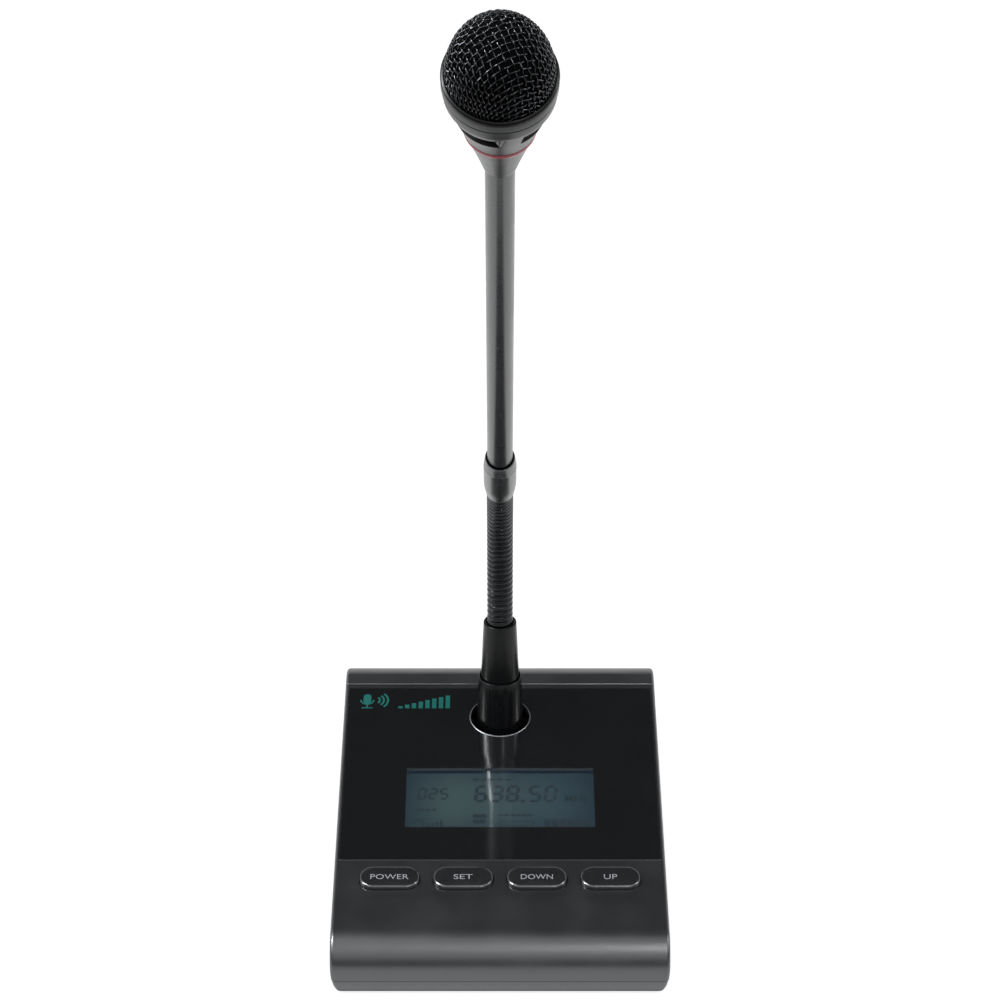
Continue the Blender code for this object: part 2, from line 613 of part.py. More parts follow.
def add_neck():
    """The segments, each hinged to the one below, and the empty at the last hinge that carries the stem."""
    points = neck_points(NECK_SEGMENTS)
    carrier = add_empty("bend_1", matrix=Matrix.Translation(points[0]))
    previous_lean = 0.0
    for index in range(NECK_SEGMENTS):
        step = points[index + 1] - points[index]
        lean, length = math.atan2(-step.y, step.z), step.length
        carrier.matrix_basis = carrier.matrix_basis @ Matrix.Rotation(lean - previous_lean, 4, "X")
        edge = AXIS_ROOM + NECK_RADIUS * math.tan(BEND_ROOM)
        bore_edge = AXIS_ROOM + NECK_BORE * math.tan(BEND_ROOM)
        profile = [(NECK_RADIUS, length - edge), (NECK_RADIUS, edge)]
        profile += [(NECK_BORE, bore_edge), (NECK_BORE, length - bore_edge)]
        add_turned(f"neck_segment_{index + 1:02d}", profile, "black_metal", carrier, steps=20)
        above = Matrix.Translation((0.0, 0.0, length))
        carrier = add_empty(f"bend_{index + 2}", carrier, above)
        previous_lean = lean
    carrier.matrix_basis = carrier.matrix_basis @ Matrix.Rotation(STEM_LEAN - previous_lean, 4, "X")
    return carrier


# ---------------------------------------------------------------- stem and head

def add_stem(carrier):
    mouth = FERRULE_LENGTH
    edge = AXIS_ROOM + 0.0050 * math.tan(BEND_ROOM)
    bore_edge = AXIS_ROOM + NECK_BORE * math.tan(BEND_ROOM)
    seat = mouth - TUBE_IN_FERRULE
    ferrule = [(0.0053, mouth), (0.0057, mouth - 0.0004), (0.0059, mouth - 0.0020), (0.00583, 0.0075)]
    ferrule += [(0.0053, 0.0030), (0.0050, edge), (NECK_BORE, bore_edge), (NECK_BORE, seat - GAP)]
    ferrule += [(TUBE_RADIUS + GAP, seat - GAP), (TUBE_RADIUS + GAP, mouth - 0.0080)]
    ferrule += [(0.0052, mouth - 0.0080), (0.0052, mouth - 0.0003)]
    add_turned("ferrule", ferrule, "charcoal_metal", carrier)
    end, bore = mouth + TUBE_VISIBLE - GAP / 2, TUBE_RADIUS - TUBE_WALL
    tube = [(TUBE_RADIUS, end), (TUBE_RADIUS, seat), (bore, seat), (bore, end)]
    add_turned("stem_tube", tube, "charcoal_metal", carrier)


def cone_radius(t):
    """Outer radius of the head's flared body."""
    return CONE_START + CONE_SLOPE * t + CONE_CURVE * t * t


def add_head_body(head):
    heights = [CONE_END - (CONE_END - 0.0012) * i / 5 for i in range(6)]
    low, high = RED_RING[0] - GAP, RED_RING[1] + GAP
    outer = [(cone_radius(t), t) for t in heights if t > high]
    outer += [(cone_radius(high), high), (cone_radius(high) - 0.0010, high)]
    outer += [(cone_radius(low) - 0.0010, low), (cone_radius(low), low)]
    outer += [(cone_radius(t), t) for t in heights if t < low]
    foot = [(0.00485, GAP / 2), (0.0034, GAP / 2), (0.0034, -0.0060), (0.0024, -0.0060)]
    foot += [(0.0024, 0.0060)]
    inner = [(cone_radius(t) - HEAD_WALL, t) for t in (0.0060, 0.0200, 0.0300, CONE_END - 0.0030)]
    sleeve = [(0.0134, CONE_END), (0.0134, 0.0455), (0.0146, 0.0455), (0.0146, CONE_END)]
    add_vents(add_turned("head_body", outer + foot + inner + sleeve, "charcoal_metal", head, steps=32))


def add_vents(body):
    """Long slots round the body, which let sound reach the capsule from behind."""
    pitch = 2 * math.pi / VENT_COUNT
    for index in range(VENT_COUNT):
        start = -math.pi / 2 + VENT_BRIDGE + index * pitch
        end = start + pitch - VENT_BRIDGE
        outline = arc((0.0, 0.0), 0.0200, start, end, 4) + arc((0.0, 0.0), 0.0080, end, start, 4)
        cutter = prism_mesh("vent", outline, *VENT_SPAN)
        combine(body, add_helper(f"vent_{index}", cutter, body.parent, body.matrix_basis), "DIFFERENCE")


def add_head_rings(head):
    low, high = RED_RING
    middle = (low + high) / 2
    outer, depth = cone_radius(middle) + 0.00025, 0.0006
    red = [(outer, high - 0.0003), (outer + 0.0001, middle), (outer - 0.0003, low + 0.0002)]
    red += [(outer - 0.0007, low), (cone_radius(low) - depth, low)]
    red += [(cone_radius(high) - depth, high), (outer - 0.0002, high)]
    add_turned("red_ring", red, "red_ring", head, steps=32)
    start = CONE_END + GAP
    rim = [(0.0165, RIM_END), (0.01675, RIM_END - 0.0003), (0.0166, GROOVE + 0.0002)]
    rim += [(0.0163, GROOVE + 0.0001), (0.0163, GROOVE - 0.0001), (0.0165, GROOVE - 0.0002)]
    rim += [(0.0161, start + 0.0002), (0.0159, start), (GRILLE_RING_BORE, start), (GRILLE_RING_BORE, RIM_END)]
    add_turned("grille_ring", rim, "charcoal_metal", head, steps=32)
    low, bore = RIM_END + GAP, DOME_RADIUS + GAP
    top = low + SEAT_RING_HEIGHT
    seat = [(bore + 0.0001, top), (SEAT_RING_RADIUS, top - 0.0006), (SEAT_RING_RADIUS, low + 0.0002)]
    seat += [(SEAT_RING_RADIUS - 0.0002, low), (bore, low), (bore, top - 0.0001)]
    add_turned("grille_seat_ring", seat, "black_metal", head, steps=32)


def dome_arc(inset, start, end, count):
    """(radius, height) points of the dome's side, moved in by inset. A point on the axis is exactly on it."""
    circle = arc((0.0, 0.0), 1.0, start, end, count)
    radius, height = DOME_RADIUS - inset, DOME_HEIGHT - inset
    return [(x * radius if x > 1e-6 else 0.0, DOME_CENTRE + y * height) for x, y in circle]


def dome_profile(inset, thickness, foot, count):
    """A thin dome on a straight foot: down the outside, then up the inside."""
    outside = dome_arc(inset, math.pi / 2, 0.0, count)
    inside = dome_arc(inset + thickness, 0.0, math.pi / 2, count)
    return [*outside, (outside[-1][0], foot), (inside[0][0], foot), *inside]


def add_grille_and_capsule(head):
    grille = dome_profile(0.0, GRILLE_THICKNESS, RIM_END + GAP, 7)
    add_turned("grille", grille, "wire_mesh", head, steps=28)
    lining = dome_profile(GRILLE_THICKNESS + GAP, LINING_THICKNESS, LINING_FOOT, 4)
    add_turned("foam_lining", lining, "foam", head, steps=20)
    mount = [(0.0130, 0.0455), (0.0130, 0.0415), (0.0081, 0.0415), (0.0081, 0.0455)]
    add_turned("capsule_mount", mount, "black_rubber", head)
    capsule = [(0.0, 0.0560), (0.0073, 0.0560), (0.0077, 0.0556)]
    capsule += [(0.0077, 0.0404), (0.0073, 0.0400), (0.0, 0.0400)]
    add_turned("capsule", capsule, "brass", head)


def main():
    add_top_shell()
    add_bottom_shell()
    add_battery_door()
    add_feet_and_screws()
    add_display_panel()
    add_display()
    add_keys()
    add_boards()
    add_antenna()
    add_battery()
    add_ballast()
    add_neck_socket()
    carrier = add_neck()
    add_stem(carrier)
    head = add_empty("head", carrier, Matrix.Translation((0.0, 0.0, FERRULE_LENGTH + TUBE_VISIBLE)))
    add_head_body(head)
    add_head_rings(head)
    add_grille_and_capsule(head)


main()
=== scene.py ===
"""The looks of a wireless gooseneck podium microphone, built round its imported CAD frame.

Everything is in metres in the frame's own coordinates: +Z is up and the keys face -Y. The deck frame lies
on the sloping flat top (x across, y up the slope, z out of the surface), the stem frame has its +Z along
the straight stem, and the head frame starts where the tube ends.
"""

import itertools
import json
import math

import bmesh
import bpy
from mathutils import Matrix, Vector


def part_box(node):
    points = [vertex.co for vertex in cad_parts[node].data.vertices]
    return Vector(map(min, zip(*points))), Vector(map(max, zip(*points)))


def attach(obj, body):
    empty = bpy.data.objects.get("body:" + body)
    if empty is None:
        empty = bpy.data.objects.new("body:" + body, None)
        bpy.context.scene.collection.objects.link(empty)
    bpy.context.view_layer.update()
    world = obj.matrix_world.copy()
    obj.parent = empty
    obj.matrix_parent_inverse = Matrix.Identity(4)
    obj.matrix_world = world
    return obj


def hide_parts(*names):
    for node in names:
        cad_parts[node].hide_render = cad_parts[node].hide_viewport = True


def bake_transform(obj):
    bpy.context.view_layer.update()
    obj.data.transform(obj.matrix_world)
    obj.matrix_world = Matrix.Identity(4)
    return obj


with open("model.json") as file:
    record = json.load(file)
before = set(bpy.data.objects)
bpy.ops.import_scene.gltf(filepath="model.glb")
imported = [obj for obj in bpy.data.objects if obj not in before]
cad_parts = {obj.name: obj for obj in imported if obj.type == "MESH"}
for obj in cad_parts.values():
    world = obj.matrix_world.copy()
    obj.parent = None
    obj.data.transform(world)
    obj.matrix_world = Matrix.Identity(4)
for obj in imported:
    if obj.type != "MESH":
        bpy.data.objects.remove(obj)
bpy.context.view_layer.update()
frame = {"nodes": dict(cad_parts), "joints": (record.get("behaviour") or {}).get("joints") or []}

# Casing
TOP_SLOPE = math.radians(8.0)
FLAT_LENGTH = 0.1379
FRONT_RADIUS = 0.013
REAR_RADIUS = 0.014
SIDE_EDGE = 0.0014
WALL = 0.0024
TOP_WALL = 0.0034
SEAM_GAP = 0.0003
TUCK = 0.0022  # how far the sides curve in at the very bottom
TUCK_TOP = 0.0125
LIP_HEIGHT = 0.0012  # the tray's lip inside the seam
TRAY_FLOOR = 0.0020
RIM_WALL = 0.0034  # from the tray's outside to its rooms
BAY_LEDGE = 0.0037  # the thicker floor round the battery bay
BAY_FRAME_SIDE = 0.0033
BAY_FRAME_FRONT = 0.0020
REAR_STRIP_S = 0.1333  # the flat top breaks here into a lower strip with its own tilt
REAR_STRIP_STEP = 0.00022
REAR_STRIP_TILT = math.radians(5.0)

# Panel, display and keys, in the deck frame
PANEL_HALF = 0.0585
PANEL_S = (0.0346, 0.1310)
PANEL_THICKNESS = 0.0015
PANEL_EDGE = 0.00022
PLATE_THICKNESS = 0.0007
WINDOW_THICKNESS = 0.0004
WINDOW_LAP = 0.0012  # how far the window reaches under the plate on each side
WINDOW_HALF = 0.0350
WINDOW_S = (0.0521, 0.0845)
WINDOW_SIZE = (2 * WINDOW_HALF, WINDOW_S[1] - WINDOW_S[0])
WINDOW_MIDDLE = (0.0, (WINDOW_S[0] + WINDOW_S[1]) / 2)
PANEL_SIZE = (2 * PANEL_HALF, PANEL_S[1] - PANEL_S[0])
PANEL_MIDDLE = (0.0, (PANEL_S[0] + PANEL_S[1]) / 2)
LCD_TOP = -0.0021
LCD_BOTTOM = -0.0062
LCD_DEPTH = 0.0358  # up the slope
LCD_ACTIVE_TOP = 0.0838  # the lit area ends here
LCD_LINE = 0.0856  # a thin light line in the border above it
KEY_SIZE = (0.0216, 0.0109)
KEY_CORNER = 0.0050
KEY_PITCH = 0.0265
KEY_S = 0.0246
KEY_PROUD = 0.0016
KEY_DEPTH = 0.0046
KEY_EDGE = 0.0011
KEY_GAP = 0.00022
KEYS = (("power", 0.0137), ("set", 0.0068), ("down", 0.0115), ("up", 0.0048))  # with each legend's width
LEGEND_HEIGHT = 0.00250
LEGEND_S = -0.0003  # above the key's middle
NECK_S = 0.1139
HOLE_RADIUS = 0.0116

# Neck and stem
COLLAR_TOP = 0.0190
CONE_TOP = 0.0428
NECK_LENGTH = 0.0677
NECK_RADIUS = 0.00485
LEAN_POWER = 1.586
STEM_LEAN = math.radians(36.5)
COIL_PITCH = 0.00235
COIL_DEPTH = 0.00040
COIL_SQUARENESS = 2.4
SLEEVE_WALL = 0.0013
SLEEVE_IN_CONE = 0.0055  # hidden length at each end of the sleeve
SLEEVE_IN_FERRULE = 0.0030
FERRULE_LENGTH = 0.0284
TUBE_RADIUS = 0.0045
TUBE_VISIBLE = 0.1991

# Head, measured along the stem from the end of the tube
CONE_END = 0.0390
FLARE = (0.0050, 0.2264, 1.337)  # the body's radius as a polynomial along the stem
RED_RING = (0.0198, 0.0222)
VENT_SPAN = (0.0307, 0.0373)
VENT_BRIDGE = 26  # degrees between one slot and the next
RIM_GROOVE = 0.0439
RIM_END = 0.0473
DOME_RADIUS = 0.0158  # the grille is half an ellipse, turned about the axis
DOME_HEIGHT = 0.0210
DOME_CENTRE = 0.0491
WIRE_PITCH = 0.0020
WIRE_RADIUS = 0.00024
WIRE_CRIMP = 0.00024
WEAVE_TURN = math.radians(24.0)
WIRE_SHELL = DOME_RADIUS - WIRE_CRIMP - WIRE_RADIUS  # the middle of the woven wires lies on this shell
WIRE_SHELL_HEIGHT = DOME_HEIGHT - WIRE_CRIMP - WIRE_RADIUS

CAMERA_LENS = 109.15  # mm, on a 36 mm sensor
CAMERA_OFFSET = (0.0, -0.8671, 0.6471)  # from the front end of the flat top
CAMERA_DIP = 28.7  # degrees below level


# --- meshes

def arc(centre, radius, start, end, count):
    angles = (start + (end - start) * i / count for i in range(count + 1))
    return [(centre[0] + radius * math.cos(a), centre[1] + radius * math.sin(a)) for a in angles]


def softened(points, closed=False, steps=4):
    """The points, with each corner that has a third value replaced by a curve starting that far from it."""
    result = []
    for index, point in enumerate(points):
        corner = Vector(point[:2])
        at_end = not closed and index in (0, len(points) - 1)
        if len(point) == 2 or at_end:
            result.append(tuple(corner))
            continue
        before = (Vector(points[index - 1][:2]) - corner).normalized() * point[2]
        after = (Vector(points[(index + 1) % len(points)][:2]) - corner).normalized() * point[2]
        for step in range(steps + 1):
            t = step / steps
            result.append(tuple(corner + before * (1 - t) ** 2 + after * t * t))
    return result


def rounded_rectangle(width, height, radius, centre=(0.0, 0.0), count=8):
    points = []
    for quarter, (side_x, side_y) in enumerate(((1, 1), (-1, 1), (-1, -1), (1, -1))):
        x = centre[0] + side_x * (width / 2 - radius)
        y = centre[1] + side_y * (height / 2 - radius)
        start = quarter * math.pi / 2
        points += arc((x, y), radius, start, start + math.pi / 2, count)
    return points


def mesh_from(bm, sharp=35.0):
    bmesh.ops.recalc_face_normals(bm, faces=bm.faces)
    mesh = bpy.data.meshes.new("mesh")
    bm.to_mesh(mesh)
    bm.free()
    mesh.shade_smooth()
    mesh.set_sharp_from_angle(angle=math.radians(sharp))
    return mesh


def bridge(bm, rings, closed=False):
    """A surface through rings of points. A ring of one point is a tip; open ends are capped."""
    loops = [[bm.verts.new(point) for point in ring] for ring in rings]
    pairs = list(zip(loops, loops[1:]))
    if closed:
        pairs.append((loops[-1], loops[0]))
    for low, high in pairs:
        count = max(len(low), len(high))
        for i in range(count):
            j = (i + 1) % count
            corners = [low[i % len(low)], low[j % len(low)], high[j % len(high)], high[i % len(high)]]
            bm.faces.new(dict.fromkeys(corners))
    if not closed:
        for ring in (loops[0], loops[-1]):
            if len(ring) > 2:
                bm.faces.new(ring)


def skin(rings, closed=False, sharp=35.0):
    bm = bmesh.new()
    bridge(bm, rings, closed)
    return mesh_from(bm, sharp)


def extruded(bm, points, vector):
    """The flat face of these points pulled along a vector, as a closed solid."""
    face = bm.faces.new([bm.verts.new(point) for point in points])
    raised = bmesh.ops.extrude_face_region(bm, geom=[face])
    far = [item for item in raised["geom"] if isinstance(item, bmesh.types.BMVert)]
    bmesh.ops.translate(bm, verts=far, vec=vector)


def circle(radius, height, steps, centre=(0.0, 0.0)):
    turn = (2 * math.pi * i / steps for i in range(steps))
    points = ((centre[0] + radius * math.cos(a), centre[1] + radius * math.sin(a)) for a in turn)
    return [Vector((x, y, height)) for x, y in points]


def cylinder(radius, low, high, centre=(0.0, 0.0), steps=96):
    return skin([circle(radius, height, steps, centre) for height in (low, high)])


def lathe(profile, steps=96, closed=True):
    """(radius, height) points turned about Z. A closed profile is a ring; an open one ends on the axis."""
    rings = []
    for radius, height in profile:
        on_axis = radius < 1e-7
        rings.append([Vector((0.0, 0.0, height))] if on_axis else circle(radius, height, steps))
    return skin(rings, closed)


def layer(size, radius, height, centre=(0.0, 0.0), count=8):
    """A level ring of points round a rounded rectangle."""
    return [Vector((x, y, height)) for x, y in rounded_rectangle(*size, radius, centre, count)]


def grown(size, amount):
    return tuple(side + amount for side in size)


def quarter_turn(steps):
    """Angles from just above 0 to a right angle."""
    return [math.pi / 2 * (i + 1) / steps for i in range(steps)]


def rounding(edge, height, steps):
    """(inset, height) steps of a rounded upper edge that ends at this height."""
    return [(edge * (1 - math.cos(a)), height - edge * (1 - math.sin(a))) for a in quarter_turn(steps)]


def slab(size, radius, centre, low, high, edge=0.0):
    """A rounded rectangle between two heights, with its upper edge rounded."""
    levels = [(0.0, low), (0.0, high - edge), *(rounding(edge, high, 5) if edge else [])]
    rings = []
    for inset, height in levels:
        corner = max(radius - inset, radius * 0.1)
        rings.append(layer(grown(size, -2 * inset), corner, height, centre))
    return skin(rings, sharp=40.0)


def plates(outlines, low, high):
    """Each flat outline of (x, y) points as a thin plate of its own, all in one mesh."""
    bm = bmesh.new()
    for outline in outlines:
        extruded(bm, [(x, y, low) for x, y in outline], (0.0, 0.0, high - low))
    return mesh_from(bm, 20.0)


def evaluated_copy(obj):
    """The object's mesh with its modifiers applied. The object itself is removed."""
    bpy.context.view_layer.update()
    graph = bpy.context.evaluated_depsgraph_get()
    mesh = bpy.data.meshes.new_from_object(obj.evaluated_get(graph))
    bpy.data.objects.remove(obj, do_unlink=True)
    return mesh


def link(name, data, matrix=None):
    """A new object in the scene. Its data gets the same name."""
    data.name = name
    obj = bpy.data.objects.new(name, data)
    bpy.context.scene.collection.objects.link(obj)
    obj.matrix_world = matrix or Matrix()
    return obj


def modify(obj, kind, **settings):
    modifier = obj.modifiers.new(kind.lower(), kind)
    for key, value in settings.items():
        setattr(modifier, key, value)


def carved(mesh, cutters, edge=0.0):
    """The mesh less each cutter mesh, all in one frame, with its sharp edges slightly rounded by edge."""
    sharp = math.radians(40.0)
    body = link("body", mesh)
    tools = [link("cutter", cutter) for cutter in cutters]
    for tool in tools:
        modify(body, "BOOLEAN", operation="DIFFERENCE", solver="EXACT", object=tool)
    if edge:
        modify(body, "BEVEL", width=edge, segments=2, limit_method="ANGLE", angle_limit=sharp)
    result = evaluated_copy(body)
    for tool in tools:
        bpy.data.objects.remove(tool, do_unlink=True)
    result.shade_smooth()
    result.set_sharp_from_angle(angle=sharp)
    return result


def paint(mesh, finish):
    mesh.materials.clear()
    mesh.materials.append(MATERIALS[finish])


def piece(name, mesh, finish, slot, matrix=None, replaces=(), body="base", weighted=False):
    """One visible piece: its mesh in place, on its CAD body, in place of the CAD nodes it stands for."""
    obj = link(name, mesh, matrix)
    paint(mesh, finish)
    if weighted:
        modify(obj, "WEIGHTED_NORMAL", keep_sharp=True, weight=100)
    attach(obj, body)
    if replaces:
        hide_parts(*replaces)
    return obj


def turned(name, profile, finish, slot, matrix, replaces=(), body="stem_and_head", steps=128):
    """A piece turned about its frame's Z axis, with its marked corners softened."""
    mesh = lathe(softened(profile, closed=True), steps)
    return piece(name, mesh, finish, slot, matrix, replaces, body)


# --- places, from the frame

def deck_frame():
    low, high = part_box("top_shell")
    y = low.y + FRONT_RADIUS * (1 - math.sin(TOP_SLOPE))
    z = high.z - FLAT_LENGTH * math.sin(TOP_SLOPE) - REAR_RADIUS * (1 - math.cos(TOP_SLOPE))
    return Matrix.Translation((0.0, y, z)) @ Matrix.Rotation(TOP_SLOPE, 4, "X")


def middle_of(name):
    """The (x, y) middle of a CAD node's box."""
    low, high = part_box(name)
    return (low.x + high.x) / 2, (low.y + high.y) / 2


def size_of(name):
    """The (x, y) size of a CAD node's box."""
    low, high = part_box(name)
    return high.x - low.x, high.y - low.y


DECK = deck_frame()
DECK_NORMAL = Vector((-math.sin(TOP_SLOPE), math.cos(TOP_SLOPE)))  # in the (y, z) plane
HINGES = [joint for joint in frame["joints"] if joint["name"].startswith("neck_bend")]
NECK_FOOT = Vector(HINGES[0]["pos_m"])
COLUMN = Matrix.Translation(NECK_FOOT - Vector((0.0, 0.0, CONE_TOP)))
STEM = Matrix.Translation(Vector(HINGES[-1]["pos_m"])) @ Matrix.Rotation(STEM_LEAN, 4, "X")
HEAD = STEM @ Matrix.Translation((0.0, 0.0, FERRULE_LENGTH + TUBE_VISIBLE))
HALF_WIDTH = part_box("top_shell")[1].x
SEAM_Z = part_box("bottom_shell")[1].z + SEAM_GAP
UNDERSIDE_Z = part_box("bottom_shell")[0].z


# --- materials

def node(tree, kind, inputs=None, **settings):
    """Adds a shader node. An input is either a plain value or a socket to link from."""
    made = tree.nodes.new("ShaderNode" + kind)
    for key, value in settings.items():
        setattr(made, key, value)
    for key, value in (inputs or {}).items():
        if isinstance(value, bpy.types.NodeSocket):
            tree.links.new(value, made.inputs[key])
        else:
            made.inputs[key].default_value = value
    return made


SOCKETS = {
    "clear": "Transmission Weight",
    "ior": "IOR",
    "metallic": "Metallic",
    "roughness": "Roughness",
    "specular": "Specular IOR Level",
}
MATERIALS = {}


def shader_inputs(tree):
    return tree.nodes["Principled BSDF"].inputs


def new_material(name, **values):
    """Adds a material with one Principled shader to MATERIALS, and returns its node tree."""
    material = MATERIALS[name] = bpy.data.materials.new(name)
    material.use_nodes = True
    for key, value in values.items():
        shader_inputs(material.node_tree)[SOCKETS[key]].default_value = value
    return material.node_tree


def object_place(tree, scale=(1.0, 1.0, 1.0)):
    place = node(tree, "TexCoord").outputs["Object"]
    return node(tree, "Mapping", {"Vector": place, "Scale": scale}).outputs["Vector"]


def noise(tree, place, scale, detail=2.0, roughness=0.5):
    inputs = {"Vector": place, "Scale": scale, "Detail": detail, "Roughness": roughness}
    return node(tree, "TexNoise", inputs).outputs["Fac"]


def remap(tree, value, low, high, start=0.3, end=0.7):
    inputs = {"Value": value, "From Min": start, "From Max": end, "To Min": low, "To Max": high}
    return node(tree, "MapRange", inputs).outputs["Result"]


def blend_colours(tree, factor, first, second):
    mixed = node(tree, "Mix", {"Factor": factor}, data_type="RGBA")
    for socket, value in ((mixed.inputs[6], first), (mixed.inputs[7], second)):
        if isinstance(value, bpy.types.NodeSocket):
            tree.links.new(value, socket)
        else:
            socket.default_value = (*value, 1.0)
    return mixed.outputs[2]


def scaled(colour, factor):
    return tuple(channel * factor for channel in colour)


def tones(tree, factor, colour, low, high):
    """The colour times low to the colour times high, by the factor."""
    return blend_colours(tree, factor, scaled(colour, low), scaled(colour, high))


def finish_with(tree, colour, roughness=None, height=None, depth=0.0):
    """Links a colour, a roughness and a bump into a new material's shader."""
    tree.links.new(colour, shader_inputs(tree)["Base Color"])
    if roughness:
        tree.links.new(roughness, shader_inputs(tree)["Roughness"])
    if height:
        bump = node(tree, "Bump", {"Height": height, "Strength": 1.0, "Distance": depth})
        tree.links.new(bump.outputs["Normal"], shader_inputs(tree)["Normal"])


def surface(name, colour, roughness, grain, depth, spread=0.12, gloss=0.12, stretch=(1, 1, 1), **values):
    """A finish with grain of a given size and depth in metres, its colour and gloss varying over it."""
    tree = new_material(name, **values)
    fine = noise(tree, object_place(tree, stretch), 1.0 / grain, 3.0, 0.6)
    broad = noise(tree, object_place(tree), 60.0, 3.0)
    grainy, cloudy = (tones(tree, factor, colour, 1 - spread, 1 + spread) for factor in (fine, broad))
    rough = remap(tree, broad, roughness * (1 - gloss), roughness * (1 + gloss))
    finish_with(tree, blend_colours(tree, 0.5, grainy, cloudy), rough, fine, depth)


def brushed(name, colour, roughness, lines, depth, spread=0.2, **values):
    """A turned finish: fine lines round the piece, from noise squeezed along its axis."""
    tree = new_material(name, **values)
    fine = noise(tree, object_place(tree, (0.03, 0.03, 1.0)), 1.0 / lines, 2.0)
    broad = noise(tree, object_place(tree), 90.0, 2.0)
    rough = remap(tree, broad, roughness * 0.88, roughness * 1.12)
    finish_with(tree, tones(tree, fine, colour, 1 - spread, 1 + spread), rough, fine, depth)


def streaked_sheen(name, colour, roughness, lines, depth, **values):
    """Gloss black with faint lines that run up the piece, from noise that only changes round its axis; the
    lighter lines in its colour are partly painted sheen, standing in for streaks of reflected light.
    """
    tree = new_material(name, **values)
    fine = noise(tree, object_place(tree, (1.0, 1.0, 0.015)), 1.0 / lines, 2.0)
    rough = remap(tree, fine, roughness * 0.8, roughness * 1.3)
    finish_with(tree, tones(tree, fine, colour, 0.5, 2.2), rough, fine, depth)


def reckon(tree, operation, *values):
    return node(tree, "Math", dict(enumerate(values)), operation=operation).outputs[0]


def painted_glow(tree, colour):
    """Makes a new material glow with a colour as painted light, over a darker base of the same colour."""
    tree.links.new(colour, shader_inputs(tree)["Emission Color"])
    shader_inputs(tree)["Emission Strength"].default_value = 1.0
    finish_with(tree, blend_colours(tree, 0.75, colour, (0.0, 0.0, 0.0)))


def display_face():
    """The face of the display: a painted grey-green glow that stands in for the light reaching it through
    the window, brighter in its middle, inside a dark blue border.
    """
    tree = new_material("display", roughness=0.3)
    split = node(tree, "SeparateXYZ", {"Vector": node(tree, "TexCoord").outputs["Object"]})
    x, up = split.outputs["X"], split.outputs["Y"]
    reach = WINDOW_SIZE[1] / 2
    height = reckon(tree, "ABSOLUTE", reckon(tree, "SUBTRACT", up, WINDOW_MIDDLE[1]))
    side_fade = remap(tree, reckon(tree, "ABSOLUTE", x), 1.0, 0.0, WINDOW_HALF * 0.55, WINDOW_HALF * 1.06)
    top_fade = remap(tree, height, 1.0, 0.25, reach * 0.35, reach * 1.15)
    cloud = remap(tree, noise(tree, object_place(tree), 110.0, 2.0), 0.9, 1.08)
    glow = reckon(tree, "MULTIPLY", reckon(tree, "MULTIPLY", side_fade, top_fade), cloud)
    leftness = remap(tree, x, 1.0, 0.0, -WINDOW_HALF * 0.5, WINDOW_HALF * 0.7)
    bright = blend_colours(tree, leftness, (0.0365, 0.0630, 0.0770), (0.0500, 0.0810, 0.0830))
    lit = blend_colours(tree, glow, (0.0175, 0.0350, 0.0480), bright)
    border = remap(tree, up, 0.0, 1.0, LCD_ACTIVE_TOP - 0.0006, LCD_ACTIVE_TOP + 0.0002)
    edged = blend_colours(tree, border, lit, (0.0055, 0.0120, 0.0230))
    line_low = remap(tree, up, 0.0, 1.0, LCD_LINE - 0.0002, LCD_LINE)
    line_high = remap(tree, up, 1.0, 0.0, LCD_LINE + 0.0002, LCD_LINE + 0.0004)
    line = reckon(tree, "MULTIPLY", line_low, line_high)
    # the display's whole face glows as painted light
    painted_glow(tree, blend_colours(tree, line, edged, (0.030, 0.052, 0.072)))


def clear_acrylic():
    """The window: hardly tinted, with a faint haze that varies its gloss."""
    tree = new_material("window", clear=1.0, ior=1.8)
    shader_inputs(tree)["Base Color"].default_value = (0.90, 0.93, 0.95, 1.0)
    haze = noise(tree, object_place(tree), 500.0, 2.0)
    tree.links.new(remap(tree, haze, 0.012, 0.030), shader_inputs(tree)["Roughness"])


def display_ink():
    """The dark parts of the display, a little darker than the glow behind them, and glowing with painted
    light themselves.
    """
    tree = new_material("segments", roughness=0.5)
    cloud = noise(tree, object_place(tree), 160.0, 2.0)
    painted_glow(tree, blend_colours(tree, cloud, (0.0140, 0.0250, 0.0350), (0.0200, 0.0340, 0.0450)))


def foam_material():
    """Black foam with a fine pattern of cells."""
    tree = new_material("foam", roughness=0.95, specular=0.08)
    cells = node(tree, "TexVoronoi", {"Vector": object_place(tree), "Scale": 2200.0}).outputs["Distance"]
    tone = blend_colours(tree, cells, (0.0012, 0.0013, 0.0015), (0.0040, 0.0042, 0.0046))
    finish_with(tree, tone, height=cells, depth=0.0003)


def board_material():
    """Green solder mask over a pattern of straight copper tracks."""
    tree = new_material("board", roughness=0.4)
    inputs = {
        "Vector": object_place(tree),
        "Scale": 160.0,
        "Mortar Size": 0.03,
        "Color1": (0.010, 0.085, 0.030, 1.0),
        "Color2": (0.012, 0.100, 0.036, 1.0),
        "Mortar": (0.030, 0.180, 0.060, 1.0),
    }
    tracks = node(tree, "TexBrick", inputs).outputs
    finish_with(tree, tracks["Color"], height=tracks["Fac"], depth=0.00003)


CHARCOAL = (0.0245, 0.0265, 0.0295)

